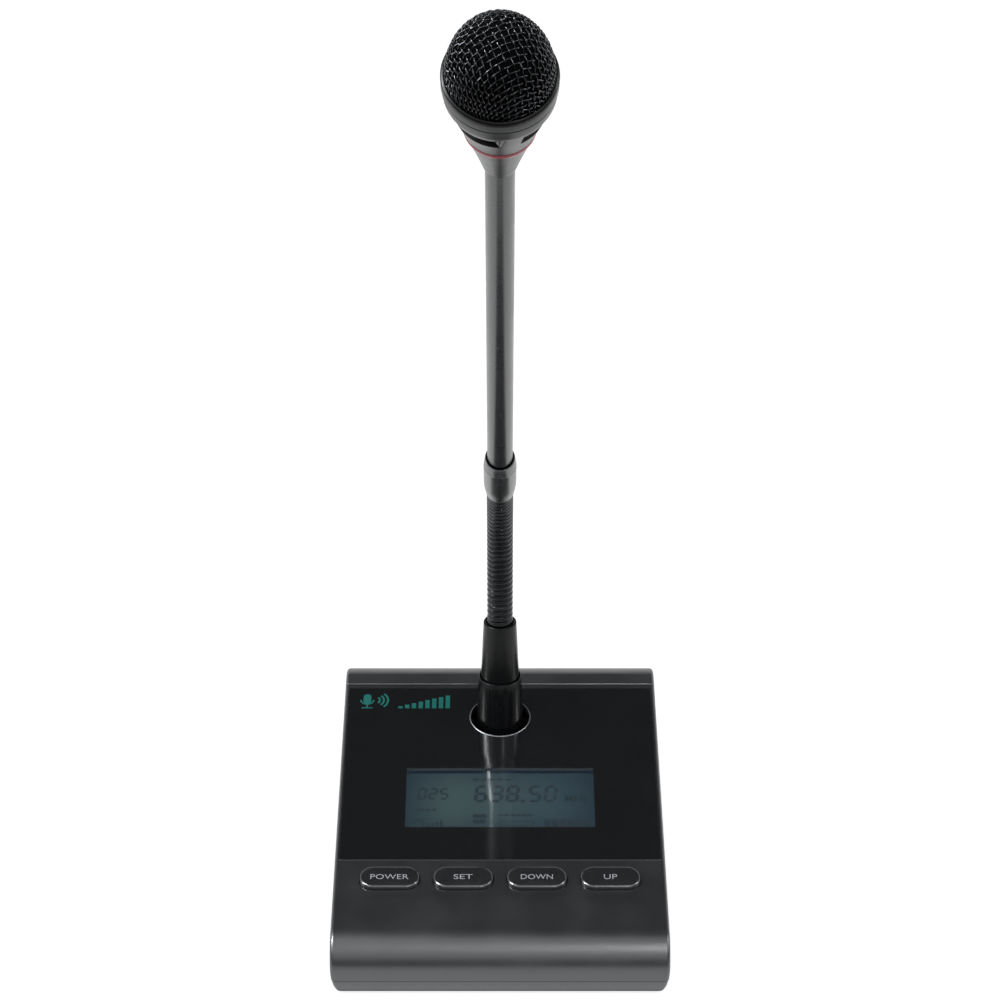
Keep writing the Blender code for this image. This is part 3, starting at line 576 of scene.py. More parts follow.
# finish: linear colour, roughness, size of grain and depth of bump in metres, and other values
PLASTICS = {
    "casing": (CHARCOAL, 0.33, 0.00022, 0.000016, {"ior": 1.9}),
    "keys": (scaled(CHARCOAL, 0.9), 0.27, 0.00025, 0.000003, {"ior": 1.9}),
    "panel": (
        (0.0138, 0.0146, 0.0162), 0.11, 0.00045, 0.0000016, {"spread": 0.3, "gloss": 0.3, "ior": 2.1}
    ),
    "cone": ((0.0042, 0.0046, 0.0052), 0.27, 0.00030, 0.00001, {"specular": 0.25}),
    "seat": ((0.0024, 0.0026, 0.0030), 0.35, 0.00030, 0.000005, {"specular": 0.2}),
    "red": ((0.44, 0.016, 0.028), 0.22, 0.00040, 0.000003, {"spread": 0.06}),
    "legend": ((0.72, 0.74, 0.77), 0.50, 0.00020, 0.000004, {"spread": 0.05}),
    "mark": ((0.0, 0.265, 0.222), 0.45, 0.00030, 0.000003, {"spread": 0.08}),
    "plastic": ((0.015, 0.015, 0.016), 0.55, 0.00035, 0.00002, {}),
    "wrap": ((0.030, 0.100, 0.240), 0.35, 0.0008, 0.000004, {}),
    "rubber": ((0.010, 0.010, 0.0105), 0.72, 0.00035, 0.00004, {}),
}
METALS = {
    "neck": ((0.040, 0.041, 0.043), 0.30, 0.00030, 0.0000015, {}),
    "stem": ((0.100, 0.101, 0.102), 0.28, 0.00018, 0.000002, {"spread": 0.06}),
    "ferrule": ((0.160, 0.161, 0.162), 0.30, 0.00018, 0.000002, {"spread": 0.06}),
    "trim": ((0.20, 0.21, 0.22), 0.38, 0.00030, 0.000002, {"spread": 0.05}),
    "wire": ((0.047, 0.049, 0.052), 0.15, 0.00040, 0.000003, {}),
    "steel": ((0.50, 0.51, 0.52), 0.32, 0.00030, 0.000006, {"stretch": (1, 8, 8)}),
    "dark_steel": ((0.012, 0.012, 0.013), 0.5, 0.0004, 0.00001, {"metallic": 0.6}),
    "brass": ((0.55, 0.39, 0.15), 0.34, 0.00040, 0.000008, {}),
}
CORNERS = ("front_left", "front_right", "rear_left", "rear_right")
KEPT_NODES = {
    "casing": ["battery_door"],
    "steel": ["rf_shield", "ballast_plate", "lcd_frame", "battery_contact_left", "battery_contact_right"]
    + [f"screw_{corner}" for corner in CORNERS],
    "dark_steel": ["neck_bracket"],
    "board": ["main_board", "button_board"],
    "plastic": ["battery_holder"]
    + [f"{part}_{name}" for part in ("plunger", "switch") for name, _ in KEYS],
    "brass": ["antenna", "neck_bush", "capsule"],
    "wrap": ["battery_front", "battery_rear"],
    "rubber": ["capsule_mount"] + [f"foot_{corner}" for corner in CORNERS],
}


def materials():
    """Every finish that the pieces name."""
    for finish, (*values, extra) in PLASTICS.items():
        surface(finish, *values, **extra)
    for finish, (*values, extra) in METALS.items():
        surface(finish, *values, **{"metallic": 1.0, **extra})
    # the collar's lighter colour lines are partly painted sheen
    streaked_sheen("collar", (0.0040, 0.0042, 0.0047), 0.24, 0.00045, 0.000008, specular=0.25)
    brushed("rim", (0.052, 0.052, 0.053), 0.34, 0.00025, 0.000003, metallic=1.0)
    # the head shares the tube's finish; its colour is darker than the tube's as painted shade, for the
    # darker surroundings its downturned faces reflect
    brushed("head", (0.049, 0.049, 0.050), 0.32, 0.00025, 0.000003, metallic=1.0)
    foam_material()
    display_face()
    display_ink()
    clear_acrylic()
    board_material()


def finish_kept_nodes():
    """CAD pieces whose shape is already right only get their finish."""
    for finish, names in KEPT_NODES.items():
        for name in names:
            paint(frame["nodes"][name].data, finish)


# --- casing

def side_outline(inset, low, strip=True):
    """(y, z) points of the casing seen from the side, from the front seam over the top to the rear seam."""
    upright = math.pi / 2 + TOP_SLOPE
    normal = DECK_NORMAL
    along = Vector((math.cos(TOP_SLOPE), math.sin(TOP_SLOPE)))
    start = DECK.translation.yz
    front_centre = start - FRONT_RADIUS * normal
    front = arc(front_centre, FRONT_RADIUS - inset, math.pi, upright, 32)
    rear_centre = start + FLAT_LENGTH * along - REAR_RADIUS * normal
    if not strip:
        rear = arc(rear_centre, REAR_RADIUS - inset, upright, 0.0, 24)
        return [(front[0][0], low), *front, *rear, (rear[-1][0], low)]
    steps = [(REAR_STRIP_S - 0.00015, 0.0), (REAR_STRIP_S + 0.00010, REAR_STRIP_STEP)]
    step = [tuple(start + s * along + n * normal) for s, n in steps]
    rear = arc(rear_centre, REAR_RADIUS - inset, upright - REAR_STRIP_TILT, 0.0, 36)
    return [(front[0][0], low), *front, *step, *rear, (rear[-1][0], low)]


def tuck(height):
    """How far the side walls have curved in at this height."""
    share = min(max((TUCK_TOP - height) / (TUCK_TOP - UNDERSIDE_Z), 0.0), 1.0)
    return TUCK * (1 - math.sqrt(1 - share * share))


def block(outline, half_width, edge=0.0):
    """The side outline, as wide as the casing, with its two side edges rounded where edge is given."""
    low = outline[0][1]
    bm = bmesh.new()
    extruded(bm, [(-half_width, y, z) for y, z in outline], (2 * half_width, 0.0, 0.0))
    if edge:
        near = 1e-6
        rim = [
            one
            for one in bm.edges
            if abs(one.verts[0].co.x - one.verts[1].co.x) < near
            and max(vert.co.z for vert in one.verts) > low + near
        ]
        bmesh.ops.bevel(bm, geom=rim, offset=edge, segments=6, profile=0.5, affect="EDGES")
        levels = 8
        for step in range(1, levels + 1):
            level = (0.0, 0.0, low + (TUCK_TOP - low) * step / levels)
            whole = [*bm.verts, *bm.edges, *bm.faces]
            bmesh.ops.bisect_plane(bm, geom=whole, dist=near / 10, plane_co=level, plane_no=(0.0, 0.0, 1.0))
        for vert in bm.verts:
            if abs(vert.co.x) > half_width / 2:
                vert.co.x -= math.copysign(tuck(vert.co.z), vert.co.x)
    return mesh_from(bm)


def in_deck(mesh):
    """The mesh, moved from the deck frame into the object's own."""
    mesh.transform(DECK)
    return mesh


def lowered(points, depth):
    """The points, with none nearer than depth to the flat top's plane."""
    kept = []
    for point in points:
        excess = max(0.0, (Vector(point) - DECK.translation.yz).dot(DECK_NORMAL) + depth)
        kept.append(tuple(Vector(point) - excess * DECK_NORMAL))
    return kept


def key_x(index):
    return (index - (len(KEYS) - 1) / 2) * KEY_PITCH


def casing_top():
    """The shell over its cavity, with openings for the panel, the display, the neck and the keys."""
    outer = block(side_outline(0.0, SEAM_Z), HALF_WIDTH, SIDE_EDGE)
    cavity = lowered(side_outline(WALL, SEAM_Z - 0.005, strip=False), TOP_WALL)
    gap, window_gap, through = 0.00012, 0.0020, (-0.010, 0.004)
    recess, window = grown(PANEL_SIZE, 2 * gap), grown(WINDOW_SIZE, 2 * window_gap)
    holes = [slab(recess, 0.0009, PANEL_MIDDLE, -PANEL_THICKNESS - gap, 0.005)]
    holes.append(slab(window, 0.0005, WINDOW_MIDDLE, *through))
    holes.append(cylinder(HOLE_RADIUS, *through, (0.0, NECK_S)))
    size, corner = grown(KEY_SIZE, 2 * KEY_GAP), KEY_CORNER + KEY_GAP
    holes += [slab(size, corner, (key_x(i), KEY_S), -0.008, 0.003) for i in range(len(KEYS))]
    cutters = [block(cavity, HALF_WIDTH - WALL), *map(in_deck, holes)]
    mesh = carved(outer, cutters, edge=0.00016)
    piece("casing_top", mesh, "casing", "casing", replaces=["top_shell"], weighted=True)


def bottom_outside():
    """The tray as one solid, its foot drawn in a little and its corners rounded, with a lip at the seam."""
    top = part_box("bottom_shell")[1].z
    size, centre = size_of("bottom_shell"), middle_of("bottom_shell")
    heights = [UNDERSIDE_Z + (top - UNDERSIDE_Z) * (1 - math.cos(a)) for a in (0.0, *quarter_turn(10))]
    rings = []
    for height in heights:
        across = 2 * (HALF_WIDTH - 0.0001 - tuck(height))
        deep = size[1] - 2 * min(tuck(height) - tuck(top), 0.0009)
        rings.append(layer((across, deep), 0.0015, height, centre))
    rings += [layer(grown(size, -0.0050), 0.0010, height, centre) for height in (top, top + LIP_HEIGHT)]
    return skin(rings)


def room(across, along, floor):
    """A cutter that hollows the tray above its floor, between two x and two y."""
    middle = (sum(across) / 2, sum(along) / 2)
    return slab((across[1] - across[0], along[1] - along[0]), 0.0008, middle, floor, 0.020)


def casing_bottom():
    """The tray, with its rooms, the battery bay and its door's opening, and seats for feet and screws."""
    centre, (width, depth) = middle_of("bottom_shell"), size_of("bottom_shell")
    door_low, door_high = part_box("battery_door")
    side = width / 2 - RIM_WALL
    front, rear = (centre[1] + end * (depth / 2 - RIM_WALL) for end in (-1, 1))
    frame_side, frame_front = door_high.x + BAY_FRAME_SIDE, door_low.y - BAY_FRAME_FRONT
    floor = UNDERSIDE_Z + TRAY_FLOOR
    cutters = [room((-side, side), (front, rear), UNDERSIDE_Z + BAY_LEDGE)]
    cutters.append(room((-side, side), (front, frame_front), floor))
    cutters += [room(across, (front, rear), floor) for across in ((-side, -frame_side), (frame_side, side))]
    near, far = door_low.y - SEAM_GAP, door_high.y + 0.0203
    opening = (door_high.x - door_low.x + 2 * SEAM_GAP, far - near)
    below, top = -0.005, door_high.z + SEAM_GAP
    cutters.append(slab(opening, 0.0003, (0.0, (near + far) / 2), below, top))
    holder = "battery_holder"
    cutters.append(slab(grown(size_of(holder), -0.0024), 0.0004, middle_of(holder), below, 0.010))
    foot_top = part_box("foot_front_left")[1].z + 0.0003
    seats = (("foot", 0.0003, foot_top), ("screw", 0.0004, 0.008))
    for corner, (part, gap, top) in itertools.product(CORNERS, seats):
        name = f"{part}_{corner}"
        cutters.append(cylinder(size_of(name)[0] / 2 + gap, -0.002, top, middle_of(name), 48))
    mesh = carved(bottom_outside(), cutters)
    piece("casing_bottom", mesh, "casing", "casing", replaces=["bottom_shell"], weighted=True)


# --- panel, display and keys

def panel():
    plate = slab(PANEL_SIZE, 0.0008, PANEL_MIDDLE, -PLATE_THICKNESS, 0.0, PANEL_EDGE)
    cutters = [slab(WINDOW_SIZE, 0.0004, WINDOW_MIDDLE, -0.005, 0.005)]
    cutters.append(cylinder(HOLE_RADIUS, -0.005, 0.005, (0.0, NECK_S)))
    mesh = carved(plate, cutters)
    place = {"matrix": DECK, "weighted": True}
    piece("panel_plate", mesh, "panel", "panel", replaces=["display_panel"], **place)
    top = -PLATE_THICKNESS - 0.00002
    size = grown(WINDOW_SIZE, 2 * WINDOW_LAP)
    clear = slab(size, 0.0004, WINDOW_MIDDLE, top - WINDOW_THICKNESS, top)
    piece("panel_window", clear, "window", "display", **place)
    inner, outer = HOLE_RADIUS - 0.00040, HOLE_RADIUS + 0.00004
    rise, foot, groove = 0.00022, -0.0014, -0.00010
    lip = [(inner, foot), (inner, rise - 0.00008, 0.00006), (inner + 0.00012, rise, 0.00008)]
    lip += [(outer - 0.00010, rise - 0.00010, 0.0001), (outer, 0.00001), (outer, groove)]
    lip += [(outer - 0.00006, groove), (outer - 0.00006, foot)]
    trim = lathe(softened(lip, closed=True), 128)
    trim.transform(Matrix.Translation((0.0, NECK_S, 0.0)))
    piece("panel_hole_trim", trim, "trim", "panel", DECK)


SEGMENTS = {
    "a": ((0, 2), (1, 2)),
    "b": ((1, 2), (1, 1)),
    "c": ((1, 1), (1, 0)),
    "d": ((0, 0), (1, 0)),
    "e": ((0, 1), (0, 0)),
    "f": ((0, 2), (0, 1)),
    "g": ((0, 1), (1, 1)),
}
LIT = {"0": "abcdef", "2": "abged", "3": "abgcd", "5": "afgcd", "6": "afgedc", "8": "abcdefg"}


def digit(character, x, y, width, height, stroke, slant=0.10):
    """Outlines of the lit bars of a seven-segment digit, leaning to the right."""
    outlines = []
    step_x, step_y = width - stroke, (height - stroke) / 2
    for name in LIT[character]:
        corner = Vector((stroke, stroke)) / 2
        ends = [corner + Vector((a * step_x, b * step_y)) for a, b in SEGMENTS[name]]
        along = (ends[1] - ends[0]).normalized()
        start, end = ends[0] + along * stroke * 0.12, ends[1] - along * stroke * 0.12
        side = Vector((-along.y, along.x)) * stroke / 2
        bar = [start, start + along * stroke / 2 + side, end - along * stroke / 2 + side, end]
        bar += [end - along * stroke / 2 - side, start + along * stroke / 2 - side]
        outlines.append([(x + p.x + slant * p.y, y + p.y) for p in bar])
    return outlines


def number(text, x, y, width, height, stroke, space):
    outlines = []
    for character in text:
        if character == ".":
            outlines.append(box_outline(x, y, stroke, stroke))
            x += stroke + space
            continue
        outlines += digit(character, x, y, width, height, stroke)
        x += width + space
    return outlines


def box_outline(x, y, width, height):
    return [(x, y), (x + width, y), (x + width, y + height), (x, y + height)]


def box_row(x, y, width, height, pitch=0.0, count=1, growth=0.0):
    """A row of boxes, each taller than the last by the growth."""
    return [box_outline(x + pitch * i, y, width, height + growth * i) for i in range(count)]


def frame_outlines(x, y, width, height, line):
    """The four bars of an empty box."""
    level = [box_outline(x, low, width, line) for low in (y, y + height - line)]
    return level + [box_outline(left, y + line, line, height - 2 * line) for left in (x, x + width - line)]


def ring_outline(centre, inner, outer, start, end, count=12):
    return arc(centre, outer, start, end, count) + arc(centre, inner, end, start, count)


def text_mesh(body, width, height, thickness, weight=-0.006):
    """A word as a thin, centred mesh of a given size; weight thickens its strokes."""
    curve = bpy.data.curves.new("text", "FONT")
    curve.body = body
    curve.align_x = "CENTER"
    curve.resolution_u = 4
    curve.extrude = 0.01
    curve.offset = weight
    mesh = evaluated_copy(link("text", curve))
    points = [vert.co for vert in mesh.vertices]
    low = Vector([min(p[axis] for p in points) for axis in range(3)])
    high = Vector([max(p[axis] for p in points) for axis in range(3)])
    size = high - low
    mesh.transform(Matrix.Translation(-(low + high) / 2))
    mesh.transform(Matrix.Diagonal((width / size.x, height / size.y, thickness / size.z, 1.0)))
    return mesh


def display():
    size = (size_of("lcd_glass")[0], LCD_DEPTH)
    face = slab(size, 0.0003, WINDOW_MIDDLE, LCD_BOTTOM, LCD_TOP, 0.00015)
    piece("display_face", face, "display", "display", DECK, ["lcd_glass"])
    ink = number("025", -0.0310, 0.0690, 0.0034, 0.0064, 0.0009, 0.0007)
    ink += number("638.50", -0.0100, 0.0675, 0.0050, 0.0094, 0.0014, 0.0009)
    ink += box_row(-0.0100, 0.0590, 0.0050, 0.0020) + box_row(-0.0100, 0.0560, 0.0044, 0.0022)
    ink += box_row(-0.0004, 0.0600, 0.0016, 0.0012, 0.0021, 6)
    ink += frame_outlines(-0.0002, 0.0548, 0.0128, 0.0026, 0.0004)
    ink += box_row(0.0162, 0.0540, 0.0024, 0.0042, 0.0029, 6)
    ink += box_row(-0.0100, 0.0796, 0.0021, 0.0010, 0.0030, 5)
    ink.append(ring_outline((-0.0300, 0.0560), 0.0015, 0.0022, math.radians(-30), math.radians(210)))
    ink += box_row(-0.0270, 0.0543, 0.0011, 0.0012, 0.0016, 4, growth=0.0007)
    ink += box_row(-0.0318, 0.0628, 0.0015, 0.0012, 0.0022, 4)
    mesh = plates(ink, LCD_TOP + 0.00001, LCD_TOP + 0.00004)
    piece("display_ink", mesh, "segments", "display", DECK)
    unit = text_mesh("MHz", 0.0086, 0.0038, 0.00003, weight=0.016)
    unit.transform(Matrix.Translation((0.0284, 0.0697, LCD_TOP + 0.000025)))
    piece("display_unit", unit, "segments", "display", DECK)


def panel_mark():
    """Plain pictograms in teal ink: a microphone, radio waves and a row of level bars."""
    x, y = -0.0512, 0.1236
    foot, reach = y - 0.0047, math.radians(45)
    outlines = [rounded_rectangle(0.0030, 0.0056, 0.00149, (x, y + 0.0008), 6)]
    outlines.append(ring_outline((x, y + 0.0002), 0.0022, 0.0028, math.pi, 2 * math.pi))
    outlines += box_row(x - 0.0003, y - 0.0041, 0.0006, 0.0016) + box_row(x - 0.0021, foot, 0.0042, 0.0006)
    for radius in (0.0018, 0.0034, 0.0050):
        outlines.append(ring_outline((x + 0.0026, y), radius, radius + 0.0008, -reach, reach))
    outlines += box_row(x + 0.0120, foot, 0.0017, 0.0012, 0.0026, 8, growth=0.0009)
    mesh = plates(outlines, 0.000005, 0.00003)
    piece("panel_mark", mesh, "mark", "panel", DECK)


def keys():
    """Each cap is a rounded pill with a flange under the casing and its printed legend on top."""
    flange, shoulder = -0.0009, -TOP_WALL - 0.0004
    levels = [(flange, -KEY_DEPTH), (flange, shoulder), (0.0, shoulder), (0.0, KEY_PROUD - KEY_EDGE)]
    levels += [*rounding(KEY_EDGE, KEY_PROUD, 8), (KEY_EDGE + 0.0012, KEY_PROUD + 0.00002)]
    for index, (name, width) in enumerate(KEYS):
        rings = [layer(grown(KEY_SIZE, -2 * inset), KEY_CORNER - inset, z, count=16) for inset, z in levels]
        place, body = DECK @ Matrix.Translation((key_x(index), KEY_S, 0.0)), f"key_{name}"
        piece(f"key_cap_{name}", skin(rings), "keys", "keys", place, [f"button_{name}"], body)
        legend = text_mesh(name.upper(), width, LEGEND_HEIGHT, 0.00004)
        legend.transform(Matrix.Translation((0.0, LEGEND_S, KEY_PROUD + 0.00003)))
        piece(f"key_legend_{name}", legend, "legend", "keys", place, body=body)


# --- collar, neck and stem

def collar_and_cone():
    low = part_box("collar_nut")[0].z - COLUMN.translation.z
    lip, shelf = COLLAR_TOP, 0.0078
    collar = [(0.0080, lip, 0.00025), (0.0084, lip - 0.0045), (0.00865, 0.0), (0.00865, low, 0.0003)]
    collar += [(0.0065, low), (0.0065, shelf), (0.00765, shelf), (0.00765, lip, 0.00015)]
    turned("collar", collar, "collar", "neck_metal", COLUMN, ["collar_nut"], "base")
    seat, foot = CONE_TOP - 0.0060, 0.0081
    cone = [(0.00618, CONE_TOP, 0.0004), (0.00725, COLLAR_TOP), (0.0073, foot, 0.0003), (0.0030, foot)]
    cone += [(0.0030, seat), (0.00515, seat), (0.00515, CONE_TOP, 0.0003)]
    turned("cone", cone, "cone", "neck_cone", COLUMN, ["neck_cone"], "base")


def leaning(lean):
    """The direction that leans this far forward from upright."""
    return Vector((0.0, -math.sin(lean), math.cos(lean)))


def neck_places(count):
    """count + 1 places along the bent middle of the neck at equal spacing: (point, lean)."""
    place, places = NECK_FOOT.copy(), [(NECK_FOOT, 0.0)]
    for index in range(count):
        half_way, there = (STEM_LEAN * ((index + part) / count) ** LEAN_POWER for part in (0.5, 1))
        place += leaning(half_way) * (NECK_LENGTH / count)
        places.append((place.copy(), there))
    return places


NECK_STEPS = 680
NECK_PLACES = neck_places(NECK_STEPS)


def neck_at(length):
    """Point and lean at an arc length; beyond either end the neck runs on straight."""
    inside = min(max(length, 0.0), NECK_LENGTH)
    point, lean = NECK_PLACES[round(inside / NECK_LENGTH * NECK_STEPS)]
    return point + leaning(lean) * (length - inside), lean


def coil_radius(length, turn):
    """Outer radius of the sleeve: a right-handed coil of rounded ridges with narrow grooves between."""
    phase = (length / COIL_PITCH - turn / (2 * math.pi)) % 1.0
    return NECK_RADIUS - COIL_DEPTH * abs(2 * phase - 1) ** COIL_SQUARENESS


def sleeve_ring(length, radius_at, sides=56):
    point, lean = neck_at(length)
    across, outward = Vector((1.0, 0.0, 0.0)), Vector((0.0, math.cos(lean), math.sin(lean)))
    ring = []
    for side in range(sides):
        turn = 2 * math.pi * side / sides
        ring.append(point + radius_at(turn) * (across * math.cos(turn) + outward * math.sin(turn)))
    return ring


def sleeve(start, end):
    """One stretch of the sleeve: the coiled outside, and a plain bore."""
    count = max(4, round((end - start) / (COIL_PITCH / 12)))
    rings = []
    for index in range(count + 1):
        length = start + (end - start) * index / count
        rings.append(sleeve_ring(length, lambda turn, at=length: coil_radius(at, turn)))
    bore_steps = max(3, count // 5)
    for index in range(bore_steps + 1):
        length = end + (start - end) * index / bore_steps
        rings.append(sleeve_ring(length, lambda turn: NECK_RADIUS - SLEEVE_WALL))
    return skin(rings, closed=True, sharp=60.0)


def neck():
    """The sleeve in stretches that meet halfway between two hinges, each one curving with the neck across
    its own hinge.
    """
    last = len(HINGES) - 1
    pitch = NECK_LENGTH / last
    for index, hinge in enumerate(HINGES):
        start = -SLEEVE_IN_CONE if index == 0 else (index - 0.5) * pitch
        end = NECK_LENGTH + SLEEVE_IN_FERRULE if index == last else (index + 0.5) * pitch
        name = f"neck_sleeve_{index + 1:02d}"
        obj = link(name, sleeve(start, end))
        paint(obj.data, "neck")
        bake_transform(obj)
        if index < last:
            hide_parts(f"neck_segment_{index + 1:02d}")


def ferrule_and_tube():
    mouth, foot = FERRULE_LENGTH, 0.0009
    outer = [(0.00535, mouth, 0.0003), (0.00578, mouth - 0.0052, 0.0003), (0.00590, mouth - 0.0056, 0.0003)]
    outer += [(0.00586, 0.0072, 0.0020), (0.00535, 0.0028, 0.0012), (0.00515, foot, 0.0003)]
    neck_bore, cable_bore, tube_bore = 0.00492, 0.0022, TUBE_RADIUS + 0.0003
    bore = [(neck_bore, foot), (neck_bore, foot + 0.0030), (cable_bore, foot + 0.0030)]
    bore += [(cable_bore, mouth - 0.0183), (tube_bore, mouth - 0.0183), (tube_bore, mouth - 0.0080)]
    bore += [(0.00515, mouth - 0.0080), (0.00515, mouth, 0.00012)]
    turned("ferrule_sleeve", outer + bore, "ferrule", "stem_metal", STEM, ["ferrule"])
    end, seat, inner = mouth + TUBE_VISIBLE - 0.0001, mouth - 0.0180, TUBE_RADIUS - 0.0008
    tube = [(TUBE_RADIUS, end), (TUBE_RADIUS, seat), (inner, seat), (inner, end)]
    turned("stem_pipe", tube, "stem", "stem_metal", STEM, ["stem_tube"])


# --- head

def cone_radius(t):
    """Outer radius of the flared body."""
    start, slope, curve = FLARE
    return start + slope * t + curve * t * t


def vent_slots():
    """(start, end) of each slot in whole degrees, where -90 faces the front. One ends exactly there."""
    length = 90 - VENT_BRIDGE
    return [(-90 + VENT_BRIDGE + 90 * k, -90 + VENT_BRIDGE + 90 * k + length) for k in range(4)]


def head_rows():
    """(place along the stem, offset from the flare) of each ring, with a dip for the red ring."""
    low, high = VENT_SPAN
    first = 0.0007
    groove_low, groove_high, dip = RED_RING[0] - 0.00035, RED_RING[1] + 0.0001, -0.0007
    rows = [(0.0002, -0.0003), (first, 0.0)]
    rows += [(first + (groove_low - first) * i / 8, 0.0) for i in range(1, 9)]
    rows += [(groove_low + 0.00002, dip), (groove_high - 0.00002, dip)]
    rows += [(groove_high + (low - groove_high) * i / 4, 0.0) for i in range(4)]
    rows += [(low + (high - low) * i / 6, 0.0) for i in range(7)]
    return rows + [(high + (CONE_END - high) * i / 2, 0.0) for i in (1, 2)]


def head_shell():
    """The flared body: a skin with slots, thickened inwards. Each slot's far end slants to a notch."""
    slant, notch, notch_depth, near = 5.0, 6.0, 0.0011, 1e-6  # degrees, then metres
    low, high = VENT_SPAN
    rows = head_rows()
    ends = {end % 360 for _, end in vent_slots()}
    bm = bmesh.new()
    grid = []
    for t, offset in rows:
        share = min(max((t - low) / (high - low), 0.0), 1.0)
        inside = low - near < t < high + near
        ring = []
        for degree in range(360):
            angle, depth = float(degree), 0.0
            if inside and degree in ends:
                angle -= slant * share
            since = next(((degree - end) % 360 for end in ends if 0 < (degree - end) % 360 <= notch), None)
            if inside and since is not None:
                width = notch * share + near
                depth = notch_depth * share * max(0.0, 1 - abs(2 * since / width - 1))
                angle -= slant * share * max(0.0, 1 - since / notch)
            radius = cone_radius(t) + offset - depth
            turn = math.radians(angle)
            ring.append(bm.verts.new((radius * math.cos(turn), radius * math.sin(turn), t)))
        grid.append(ring)
    open_degrees = {degree % 360 for start, end in vent_slots() for degree in range(start, end)}
    for row in range(len(rows) - 1):
        cut = low - near < rows[row][0] and rows[row + 1][0] < high + near
        for degree in range(360):
            if cut and degree in open_degrees:
                continue
            j = (degree + 1) % 360
            bm.faces.new((grid[row][degree], grid[row][j], grid[row + 1][j], grid[row + 1][degree]))
    loose = [vert for vert in bm.verts if not vert.link_faces]
    bmesh.ops.delete(bm, geom=loose, context="VERTS")
    obj = link("head_skin", mesh_from(bm))
    modify(obj, "SOLIDIFY", thickness=0.0012, offset=-1.0)
    mesh = evaluated_copy(obj)
    mesh.set_sharp_from_angle(angle=math.radians(32.0))
    piece("head_shell", mesh, "head", "stem_metal", HEAD, ["head_body"], "stem_and_head")


def vent_cloth():
    """A dark band of cloth just inside the slots."""
    foot, top = VENT_SPAN[0] - 0.0020, CONE_END - 0.0002
    outside, inside = 0.0018, 0.0021
    cloth = [(cone_radius(top) - outside, top), (cone_radius(foot) - outside, foot)]
    cloth += [(cone_radius(foot) - inside, foot), (cone_radius(top) - inside, top)]
    turned("vent_cloth", cloth, "foam", "foam", HEAD, steps=96)


def head_rings():
    low, high = RED_RING
    middle, bury = (low + high) / 2, 0.0006
    out = cone_radius(middle) + 0.00030
    red = [(cone_radius(high) - bury, high), (out, high, 0.0004), (out + 0.00010, middle)]
    red += [(out - 0.00035, low, 0.0004), (cone_radius(low) - bury, low)]
    turned("ring_red", red, "red", "ring_light", HEAD, ["red_ring"])
    start, groove, bore = CONE_END + 0.0001, RIM_GROOVE, 0.0150
    rim = [(0.01668, RIM_END, 0.0003), (0.01675, groove + 0.00030, 0.00015), (0.0163, groove + 0.00012)]
    rim += [(0.0163, groove - 0.00012), (0.01666, groove - 0.00030, 0.00015)]
    rim += [(0.0162, start + 0.0005, 0.0004), (0.0158, start), (bore, start), (bore, RIM_END)]
    turned("ring_rim", rim, "rim", "stem_metal", HEAD, ["grille_ring"], steps=160)
    low, top, bore = RIM_END + 0.0001, RIM_END + 0.0015, DOME_RADIUS + 0.0001
    seat = [(bore + 0.0001, top, 0.0001), (0.0168, top - 0.0005, 0.0004), (0.0168, low + 0.0003, 0.0002)]
    seat += [(0.0165, low), (bore, low), (bore, top - 0.0002)]
    turned("ring_seat", seat, "seat", "grille_wire", HEAD, ["grille_seat_ring"], steps=160)


def on_dome(point):
    """The point of the wire shell in line with this one, and the outward normal there."""
    a, b = WIRE_SHELL, WIRE_SHELL_HEIGHT
    rise = max(0.0, point.z - DOME_CENTRE)
    unit = Vector((point.x / a, point.y / a, rise / b)).normalized()
    height = DOME_CENTRE + unit.z * b if rise else point.z
    normal = Vector((unit.x / a, unit.y / a, unit.z / b)).normalized()
    return Vector((unit.x * a, unit.y * a, height)), normal


def fourth_corner(corner, left, right):
    """The point of the shell one pitch from both left and right, on the far side from corner."""
    point = on_dome(left + right - corner)[0]
    for _ in range(30):
        for other in (left, right):
            gap = point - other
            point = point + gap * ((WIRE_PITCH / gap.length - 1) * 0.5)
        point = on_dome(point)[0]
    return point


def next_down(point):
    """The point of the shell one pitch further down from this one, on the same side."""
    outward = Vector((point.x, point.y, 0.0))
    outward = outward.normalized() if outward.length > 1e-6 else Vector((1.0, 0.0, 0.0))
    normal = on_dome(point)[1]
    down = outward.cross(Vector((0.0, 0.0, 1.0))).cross(normal)
    place = on_dome(point + down * (WIRE_PITCH if down.z <= 1e-6 else -WIRE_PITCH))[0]
    for _ in range(12):
        gap = place - point
        place = on_dome(point + gap * (WIRE_PITCH / gap.length))[0]
    return place


def weave_net():
    """Crossings of a square mesh pressed over the shell, at (i, j) counted from the crown. Each cell keeps
    its side length and only shears, as woven wire does."""
    reach = 17
    point = Vector((0.0, 0.0, DOME_CENTRE + WIRE_SHELL_HEIGHT))
    quarter = {(0, 0): point}
    for i in range(1, reach):
        point = next_down(point)
        quarter[i, 0] = point
        quarter[0, i] = Vector((0.0, point.x, point.z))
    for total in range(2, 2 * reach):
        for i in range(1, total):
            j = total - i
            known = [quarter.get(key) for key in ((i - 1, j - 1), (i - 1, j), (i, j - 1))]
            if None not in known and min(known[1].z, known[2].z) >= RIM_END - WIRE_PITCH:
                quarter[i, j] = fourth_corner(*known)
    net = {}
    for turn in range(4):
        spin = Matrix.Rotation(turn * math.pi / 2 + WEAVE_TURN, 3, "Z")
        for (i, j), point in quarter.items():
            key = ((i, j), (-j, i), (-i, -j), (j, -i))[turn]
            net[key] = spin @ point
    return net


